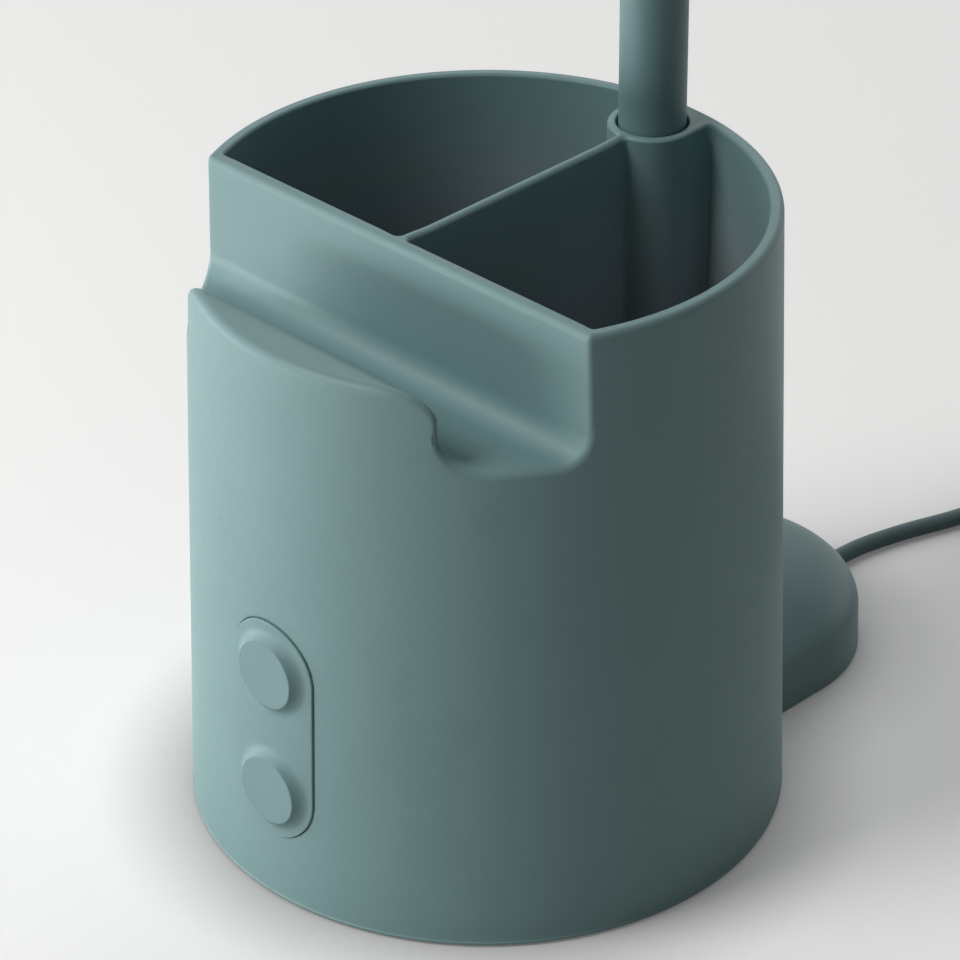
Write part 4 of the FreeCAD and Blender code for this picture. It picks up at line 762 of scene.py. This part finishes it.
def collarShare(c, r):
    # 1 on the flat face, 0 on the plate, and between them the distance to the base raised to the hollow's power.
    fine = np.linspace(5, 12, round(7 / c.shareStep) + 1)
    t = np.clip((fine - c.faceRadius) / (c.collarBase - c.faceRadius), 0, 1)
    return np.interp(r, fine, blurred((1 - t) ** c.hollow, int(c.edgeBlur / c.shareStep) * 2 + 1))


def plateFace(c, x, z):
    # Y of the plate's face: the cone, blended to the nearer button's flat face by the collar's share.
    isUpper = z > (c.lower[1] + c.upper[1]) / 2
    nearX, nearZ = (np.where(isUpper, c.upper[i], c.lower[i]) for i in (0, 1))
    share = collarShare(c, np.hypot(x - nearX, z - nearZ))
    skin = coneY(x, z) - c.proud
    return skin + share * (-coneRadius(nearZ) - c.rise - skin)


@byName
def makePlate(c):
    patches = Patches()
    reach, half = c.halfWidth - c.edge, (c.upper[1] - c.lower[1]) / 2
    cornerAngle, endCount, sideCount = math.atan2(-half, reach), 181, 65
    a = join([np.linspace(cornerAngle, math.pi - cornerAngle, endCount),
              np.linspace(math.pi - cornerAngle, 2 * math.pi + cornerAngle, sideCount)[1:-1]])
    cos, sin = np.cos(a), np.sin(a)
    radii = join([np.linspace(c.capRadius + c.capGap, c.fineRadius, 13),
                  np.linspace(c.fineRadius, c.collarBase, 22)[1:]])[:, None]
    t = shares(6)[1:]
    outlines, holes = [], []
    for (centreX, z), end, up in ((c.upper, c.high - c.upper[1], 1),
                                  (c.lower, c.lower[1] - c.low, -1)):
        # Rings round the hole, the last of them the pill's end, its sides and the level line between the buttons.
        far = end * sin + np.sqrt(reach ** 2 - (end * cos) ** 2)
        far = np.where(far * sin >= end, far, reach / np.maximum(np.abs(cos), 1e-9))
        far = np.where(np.arange(len(a)) >= endCount, half / np.maximum(-sin, 1e-9), far)
        r = join([radii + 0 * a, c.collarBase + (far - c.collarBase) * t])
        aside = (centreX - c.x) * join([0 * radii + 1, 1 - t])
        x, height = c.x + aside + r * cos, z + up * r * sin
        face = zipped(x, plateFace(c, x, height), height)
        back = face[0].copy()
        back[:, 1] = c.backY + c.flangeThickness
        patches.addRound(face).addRound(rows([face[0], back]))
        holes.append(back)
        outlines.append(zipped(x[-1, :endCount], height[-1, :endCount]))
    flat = join([outlines[0], outlines[1][::-1][1:-1]])
    aside = fromSpine(flat[:, 0], flat[:, 1], c.x, c.low, c.high)[1]

    def pillRow(out, depth):
        x, z = flat[:, 0] + aside[:, 0] * out, flat[:, 1] + aside[:, 1] * out
        return zipped(x, coneY(x, z) - c.proud + depth, z)

    e, f = c.edge, np.radians([0, 22, 45, 68, 90])
    seat, flange = pillRow(e, 0), pillRow(e + c.flange, 0)
    seat[:, 1] = flange[:, 1] = c.backY
    behind = flange + np.array([0, c.flangeThickness, 0])
    edgeRows = [pillRow(e * math.sin(b), e * (1 - math.cos(b))) for b in f]
    patches.addRound(rows(edgeRows + [seat, flange, behind]))
    patches.fill([behind] + holes)
    return makePiece("keyPlate", patches, "base", "key_rubber", "key_plate")


@byName
def makeButton(c, name, centre, body, node):
    # Turned round its own axis: flat face, small round, side, and the flange behind the plate.
    x, z = centre
    face = -coneRadius(z) - c.rise
    r, e, wide = c.capRadius, c.capEdge, c.capRadius + c.capFlange
    front = c.backY + c.flangeThickness
    behind = front + c.flangeThickness
    profile = join([[(0, face), (r / 2, face), (r - e - 0.2, face)], arc((r - e, face + e), e, -90, 0, 5),
                    [(r, face + e), (r, front), (wide, front), (wide, behind), (0, behind)]])
    return makeRound(name, latheAlongY(profile, 128, x, z), body, "key_rubber", node)


makePlate(keys)
makeButton(keys, "upperButton", keys["upper"], "upper_key", "upper_button")
makeButton(keys, "lowerButton", keys["lower"], "lower_key", "lower_button")
print("keys made")


# Stem. A round section carried straight up, through a quarter bend and level to the arm's tip.

stem = {"radius": 6.5, "wall": 1.0, "y": 45.1, "low": 16.2, "armHeight": 390.0, "bend": 60.0, "endY": -52.0,
        "endRound": 0.25}


@byName
def makeStem(c):
    bendZ, levelY = c.armHeight - c.bend, c.y - c.bend
    z = join([[c.low, c.low + c.endRound], np.linspace(c.low + 1, bendZ, 60)])
    turn = quarterTurn(61)[1:]
    y = join([np.linspace(levelY, c.endY + 1, 16)[1:], [c.endY + c.endRound, c.endY]])
    path = join([zipped(c.y, z), zipped(levelY + c.bend * np.cos(turn), bendZ + c.bend * np.sin(turn)),
                 zipped(y, c.armHeight)])
    lean = join([0 * z, turn, 0 * y + math.pi / 2])[:, None]
    outer = np.full(len(path), c.radius)
    outer[[0, -1]] -= c.endRound
    a = fullTurn(96)

    def tube(radius):
        across = radius[:, None] * np.sin(a)
        return zipped(radius[:, None] * np.cos(a), path[:, :1] + across * np.cos(lean),
                      path[:, 1:] + across * np.sin(lean))

    inner = tube(np.full(len(path), c.radius - c.wall))[::-1]
    return makeRound("stemTube", join([tube(outer), inner]), "arm", "stem_paint", "stem_tube", closedRows=True)


makeStem(stem)
print("stem made")


# Head: shade, diffuser and its snap ring, each one closed profile turned round the head's axis.

head = {
    "y": -66.0, "low": 340.0, "radius": 52.0, "wall": 2.0, "skirt": 12.0, "dome": 24.0, "edge": 0.6,
    "seatRadius": 9.0, "seatInside": 373.14, "ledgeLow": 343.5, "ledgeHigh": 345.5, "ledgeRadius": 48.0,
    "bossRadius": 3.5, "bossOffset": 36.5, "bossLow": 353.5,
    "diffuserRadius": 49.7, "diffuserThickness": 2.0, "diffuserCrown": 0.25,
    "ringOuter": 49.95, "ringWidth": 2.4, "ringThickness": 1.3, "smallEdge": 0.3,
    "seatBlend": 1.2, "seatDrop": 0.1, "bossEdge": 0.2, "around": 192,
}


def quarter(radius, rise, low, inner, count):
    # Points of a quarter ellipse from its widest point up to an inner radius.
    b = np.linspace(0, math.acos(inner / radius), count)
    return zipped(radius * np.cos(b), low + rise * np.sin(b))


@byName
def makeShade(c):
    shoulder, w, e = c.low + c.skirt, c.wall, c.edge
    outside = quarter(c.radius, c.dome, shoulder, c.seatRadius + c.seatBlend, 60)
    inside = quarter(c.radius - w, c.dome - w, shoulder, c.seatRadius, 50)[::-1]
    top, seat, low, small = shoulder + c.dome, c.seatRadius, c.low, c.smallEdge
    wallIn, ledge, ledgeHigh, ledgeLow = c.radius - w, c.ledgeRadius, c.ledgeHigh, c.ledgeLow
    profile = join([
        [(0, c.seatInside), (seat, c.seatInside)], inside, [(wallIn, ledgeHigh)],
        roundCorners([(wallIn, ledgeHigh), (ledge, ledgeHigh), (ledge, ledgeLow), (wallIn, ledgeLow)],
                     [small, small], 4)[1:],
        arc((wallIn + e, low + e), e, 180, 270, 6), arc((c.radius - e, low + e), e, -90, 0, 6),
        [(c.radius, low + e)], outside, [(seat + small, top - c.seatDrop), (seat, top), (0, top)]])
    patches = Patches().addRound(lathe(profile, c.around, (0, c.y)))
    # Three bosses for the heat sink's screws, their tops buried in the dome.
    turn, r, e, low, away = np.radians([90, 210, 330]), c.bossRadius, c.bossEdge, c.bossLow, c.bossOffset
    up = shoulder + (c.dome - w / 2) * math.sqrt(1 - ((away + r) / c.radius) ** 2)
    boss = np.array([(0, low), (r - e, low), (r, low + e), (r, up), (0, up)])
    for x, y in zip(away * np.cos(turn), c.y + away * np.sin(turn)):
        patches.addRound(lathe(boss, 40, (x, y)))
    return makePiece("shadeDome", patches, "head", "shade_plastic", "shade_shell")


@byName
def makeDiffuser(c):
    r, high, e = c.diffuserRadius, c.ledgeLow, c.smallEdge
    low = high - c.diffuserThickness
    across = np.linspace(0, r - e, 24)
    under = zipped(across, low + c.diffuserCrown * (across / r) ** 2)
    profile = join([under, arc((r - e, low + c.diffuserCrown + e), e, -90, 0, 5),
                    [(r, high - e), (r - e, high), (0, high)]])
    return makeRound("lightDiffuser", lathe(profile, 160, (0, c.y)), "head", "diffuser_opal", "diffuser")


@byName
def makeRing(c):
    high, r = c.ledgeLow - c.diffuserThickness, c.ringOuter
    low, inner = high - c.ringThickness, c.ringOuter - c.ringWidth
    profile = roundedEnds([(r, low), (r, high), (inner, high), (inner, low)], c.smallEdge)
    return makeRound("diffuserRing", lathe(profile, c.around, (0, c.y)), "head", "shade_plastic", "diffuser_ring",
                     closedRows=True)


makeShade(head)
makeDiffuser(head)
makeRing(head)
print("head made")


# Cord's fittings: strain relief at the heel, plug body and the strap round the put-away coil.

relief = {"z": 4.2, "bore": 1.85, "neck": 2.3, "flangeRadius": 2.9, "coneBase": 2.3, "start": 92.4,
          "flangeEnd": 94.1, "wallY": 96.8, "endY": 104.8, "tip": 1.93, "tipEdge": 0.08, "sag": 2.25, "sagPower": 1.3,
          "grooves": (98.6, 100.4, 102.2), "grooveDepth": 0.28, "grooveWidth": 0.32}
plug = {"x": 67.2, "z": 4.0, "halfWidth": 7.5, "halfHeight": 4.0, "frontY": 108.0, "backY": 134.0, "power": 4.6,
        "taperFrom": 126.0, "taperWidth": 0.26, "taperHeight": 0.12, "ribs": 6, "ribDepth": 0.035,
        "ribFrom": 113.0, "ribTo": 125.0, "ribEase": 0.8, "backRound": 1.5, "tailRadius": 2.6, "tailEnd": 138.5}
strap = {"x": 37.8, "halfWidth": 3.0, "thickness": 0.6, "nearY": 168.62, "farY": 187.0, "low": 0.6, "high": 7.2,
         "corner": 1.6, "lapFrom": 172.0, "lapTo": 183.0, "lapShare": 0.25, "edge": 0.2}
innerCord = {"radius": 1.8, "bendShare": 0.45,
             "route": ((0, 103.8, 4.2), (0, 89.8, 4.2), (0, 84.6, 5.8), (0, -32.0, 5.8), (5.6, -40.0, 7.3),
                       (8.0, -42.0, 11.8), (8.0, -42.0, 20.5))}


def sagged(points):
    # Past the heel's wall, Z drops by the sag times a power of the share of the relief's length.
    share = np.clip(points[..., 1] - relief["wallY"], 0, None) / (relief["endY"] - relief["wallY"])
    points[..., 2] -= relief["sag"] * share ** relief["sagPower"]
    return points


@byName
def makeRelief(c):
    # Cone from the heel's wall to its tip, less a smooth dip at each groove.
    y = np.linspace(c.wallY, c.endY - c.tipEdge, 64)
    r = c.coneBase + (c.tip - c.coneBase) * (y - c.wallY) / (c.endY - c.wallY)
    dips = np.exp(-((y[:, None] - np.array(c.grooves)) / c.grooveWidth) ** 2).sum(1)
    cone = zipped(r - c.grooveDepth * dips, y)
    profile = join([
        [(c.bore, c.start), (c.flangeRadius, c.start), (c.flangeRadius, c.flangeEnd),
         (c.neck, c.flangeEnd), (c.neck, c.wallY)], cone,
        arc((c.tip - c.tipEdge, c.endY - c.tipEdge), c.tipEdge, 0, 90, 5), [(c.bore, c.endY)]])
    return makeRound("strainRelief", sagged(latheAlongY(profile, 64, 0, c.z)), "base", "cord_jacket",
                     "cord_grommet", closedRows=True)


@byName
def makeInnerCord(c):
    # Straight runs joined by parabolas, with a circle carried along them square to the path.
    route, share = np.array(c.route, float), shares(17)
    path, last = [route[:1]], route[0]
    for before, corner, after in zip(route, route[1:], route[2:]):
        reach = c.bendShare * min(np.linalg.norm(corner - before), np.linalg.norm(after - corner))
        start, end = corner + unit(before - corner) * reach, corner + unit(after - corner) * reach
        path += [last + (start - last) * share[1:-1],
                 (1 - share) ** 2 * start + 2 * share * (1 - share) * corner + share ** 2 * end]
        last = end
    path = sagged(join(path + [last + (route[-1] - last) * share[1:]]))
    along = unit(np.gradient(path, axis=0))
    side = unit(np.array([1.0, 0, 0]) - along[:, :1] * along)
    up = np.cross(along, side)
    a = fullTurn(32)[:, None]
    tube = path[:, None] + c.radius * (np.cos(a) * side[:, None] + np.sin(a) * up[:, None])
    first, last = (np.repeat(path[i][None, None], len(a), 1) for i in (0, -1))
    return makeRound("innerCord", join([first, tube, last]), "base", "cord_jacket", "inner_cord")


@byName
def makePlug(c):
    # A section between oval and box, carried along Y: round at both ends, ribbed at its sides, tapered at its back.
    f, e = quarterTurn(7), c.backRound
    middle = np.linspace(c.frontY + 1, c.backY - e, 90)[1:]
    y = join([c.frontY + 1 - np.cos(f), middle, c.backY - e + e * np.sin(f[1:])])
    ends = join([1 - np.sin(f), 0 * middle, e * (1 - np.cos(f[1:]))])
    taper = smooth((y - c.taperFrom) / (c.backY - c.taperFrom))
    inRibs = smooth((y - c.ribFrom) / c.ribEase) * smooth((c.ribTo - y) / c.ribEase)
    rib = c.ribDepth * inRibs * (0.5 - 0.5 * np.cos(2 * math.pi * c.ribs * (y - c.ribFrom)
                                                    / (c.ribTo - c.ribFrom)))
    width = c.halfWidth * (1 - c.taperWidth * taper - rib) - ends
    height = c.halfHeight * (1 - c.taperHeight * taper) - ends
    a = fullTurn(96)
    cos, sin = np.cos(a), np.sin(a)
    across, up = (np.sign(v) * np.abs(v) ** (2 / c.power) for v in (cos, sin))
    body = zipped(c.x + width[:, None] * across, y[:, None], c.z + height[:, None] * up)
    first, last = body[:1].copy(), body[-1:].copy()
    first[..., 0] = last[..., 0] = c.x
    first[..., 2] = last[..., 2] = c.z
    patches = Patches().addRound(join([first, body, last]))
    b, wide, end = c.backY, c.tailRadius, c.tailEnd
    tail = np.array([(1.75, b - 0.5), (wide, b - 0.5), (wide, b + 0.4), (2.35, b + 1.2), (2.35, b + 1.6),
                     (2.5, b + 2.0), (2.2, b + 2.9), (2.2, b + 3.3), (2.3, b + 3.6), (2.05, end - 0.2),
                     (1.9, end), (1.75, end)])
    patches.addRound(latheAlongY(tail, 48, c.x, c.z), closedRows=True)
    return makePiece("plugBody", patches, "base", "plug_rubber", "usb_plug")


@byName
def makeStrap(c):
    # A flat section carried round a loop with rounded corners, thicker where the strap's end laps over it.
    loop = roundedEnds([(c.nearY, c.low), (c.farY, c.low), (c.farY, c.high),
                        (c.nearY, c.high)], c.corner, 8)
    loop = loop[join([[True], np.linalg.norm(np.diff(loop, axis=0), axis=1) > 1e-6])]
    share = np.linspace(0, 1, 12, endpoint=False)[:, None, None]
    loop = ((1 - share) * loop + share * np.roll(loop, -1, 0)).transpose(1, 0, 2).reshape(-1, 2)
    normal = flatNormals(loop)
    onTop = loop[:, 1] > c.high - 0.01
    t = c.thickness
    lap = np.where(onTop & (loop[:, 0] > c.lapFrom) & (loop[:, 0] < c.lapTo), 0.0, -c.lapShare * t)
    w = c.halfWidth
    section = roundedEnds([(-w, 0), (w, 0), (w, 1), (-w, 1)], c.edge, 4)
    across, out = section[:, 0], section[:, 1]
    thick = (t + lap)[:, None] * out
    points = zipped(c.x + across, loop[:, :1] + normal[:, :1] * thick, loop[:, 1:] + normal[:, 1:] * thick)
    return makeRound("coilStrap", points, "base", "tie_strap", "cord_tie", closedRows=True)


makeInnerCord(innerCord)
cordPieces = [makeRelief(relief), makePlug(plug), makeStrap(strap)]
cordPieces += [frame["nodes"][name] for name in ("usb_shell", "usb_tongue", "usb_contacts")]
print("cord's fittings made")


# CAD parts that stay as they are take the finish that their slot in the record names.
for part in frame["record"]["subparts"]:
    node = frame["nodes"][part["node"]]
    finish = materials[inCamel(part["material_slot"])]
    if not node.material_slots:
        node.data.materials.append(finish)
    for slot in node.material_slots:
        slot.material = finish
print("CAD parts finished")


# Stage: pale floor and five soft lamps, in metres. The low lamp lights the cup's outside alone, close to the table.
# floorLift is light of the floor's own, which only the camera sees.

stage = {
    "floorSize": 12.0, "floorSeen": (0.90, 0.895, 0.88), "floorLit": (0.50, 0.50, 0.49), "floorLift": 0.25,
    "contactReach": 0.022, "contactShade": 0.55, "openFrom": 0.45,
    "everyLamp": {"distance": 1.7, "colour": (1.0, 0.995, 0.985), "aim": (0.0, 0.0, 0.07)},
    "lamps": {
        "key": {"direction": (-0.30, -0.62, 0.75), "size": (0.8, 0.8), "power": 14.3},
        "side": {"direction": (-0.906, -0.424, 0.20), "size": (1.3, 1.3), "power": 5.1},
        "low": {"direction": (-0.66, -0.75, 0.0), "distance": 0.45, "size": (0.7, 0.08), "power": 1.3,
                "aim": (0.0, 0.0, 0.05)},
        "edge": {"direction": (0.15, 0.985, 0.06), "size": (1.0, 1.0), "power": 2.3, "colour": (1.0, 0.985, 0.97)},
        "top": {"direction": (-0.45, 0.60, 0.75), "distance": 1.6, "size": (1.5, 1.5), "power": 4.8,
                "colour": (0.97, 0.985, 1.0)},
    },
    "surroundSeen": (0.83, 0.83, 0.825), "surroundLit": (0.07, 0.07, 0.071),
}


def seenOrLit(tree, seen, lit):
    # One colour for what the camera sees, straight or in a reflection, and another for the light it gives.
    path = addNode(tree, "LightPath")
    most = path.outputs["Is Camera Ray"]
    for name in ("Is Glossy Ray", "Is Transmission Ray"):
        most = addNode(tree, "Math", {0: most, 1: path.outputs[name]}, operation="MAXIMUM").outputs[0]
    return mix(tree, most, (*lit, 1), (*seen, 1))


def darkenedAtContact(tree, seen, lit, values):
    # The colour seen, times a share that falls from 1 to 1 less the shade where the object stands on the floor.
    near = addNode(tree, "AmbientOcclusion", {"Distance": values.contactReach}, samples=8)
    share = ranged(tree, near.outputs["AO"], values.openFrom, 1.0, 1 - values.contactShade, 1.0)
    product = mix(tree, 1.0, (*seen, 1), share, blend_type="MULTIPLY")
    choice = seenOrLit(tree, seen, lit)
    tree.links.new(product.outputs["Result"], choice.inputs["B"])
    return choice.outputs["Result"]


@byName
def makeStage(values):
    half = values.floorSize / 2
    mesh = bpy.data.meshes.new("floor")
    mesh.from_pydata([(-half, -half, 0), (half, -half, 0), (half, half, 0), (-half, half, 0)], [], [(0, 1, 2, 3)])
    floor = newObject("floor", mesh)
    paint = makeMaterial("floorPaint", values.floorLit, 0.8, specular=0.1, mottle=0.0)
    mesh.materials.append(paint)
    tree = paint.node_tree
    setInputs(tree, tree.nodes["Principled BSDF"], {
        "Base Color": darkenedAtContact(tree, values.floorSeen, values.floorLit, values),
        "Emission Color": darkenedAtContact(tree, [values.floorLift] * 3, (0, 0, 0), values),
        "Emission Strength": 1.0})
    for name, changes in values.lamps.items():
        lamp = {**values.everyLamp, **changes}
        data = bpy.data.lights.new(name, "AREA")
        data.shape, (data.size, data.size_y), data.energy = "ELLIPSE", lamp["size"], lamp["power"]
        data.color = lamp["colour"]
        obj = newObject(name, data)
        away = Vector(lamp["direction"]).normalized()
        obj.location = Vector(lamp["aim"]) + away * lamp["distance"]
        obj.rotation_mode = "QUATERNION"
        obj.rotation_quaternion = away.to_track_quat("Z", "Y")
    world = bpy.data.worlds.new("surround")
    world.use_nodes = True
    choice = seenOrLit(world.node_tree, values.surroundSeen, values.surroundLit)
    setInputs(world.node_tree, world.node_tree.nodes["Background"],
              {"Color": choice.outputs["Result"], "Strength": 1.0})
    bpy.context.scene.world = world
    bpy.context.scene.view_settings.view_transform = "Standard"


makeStage(stage)
print("stage made")
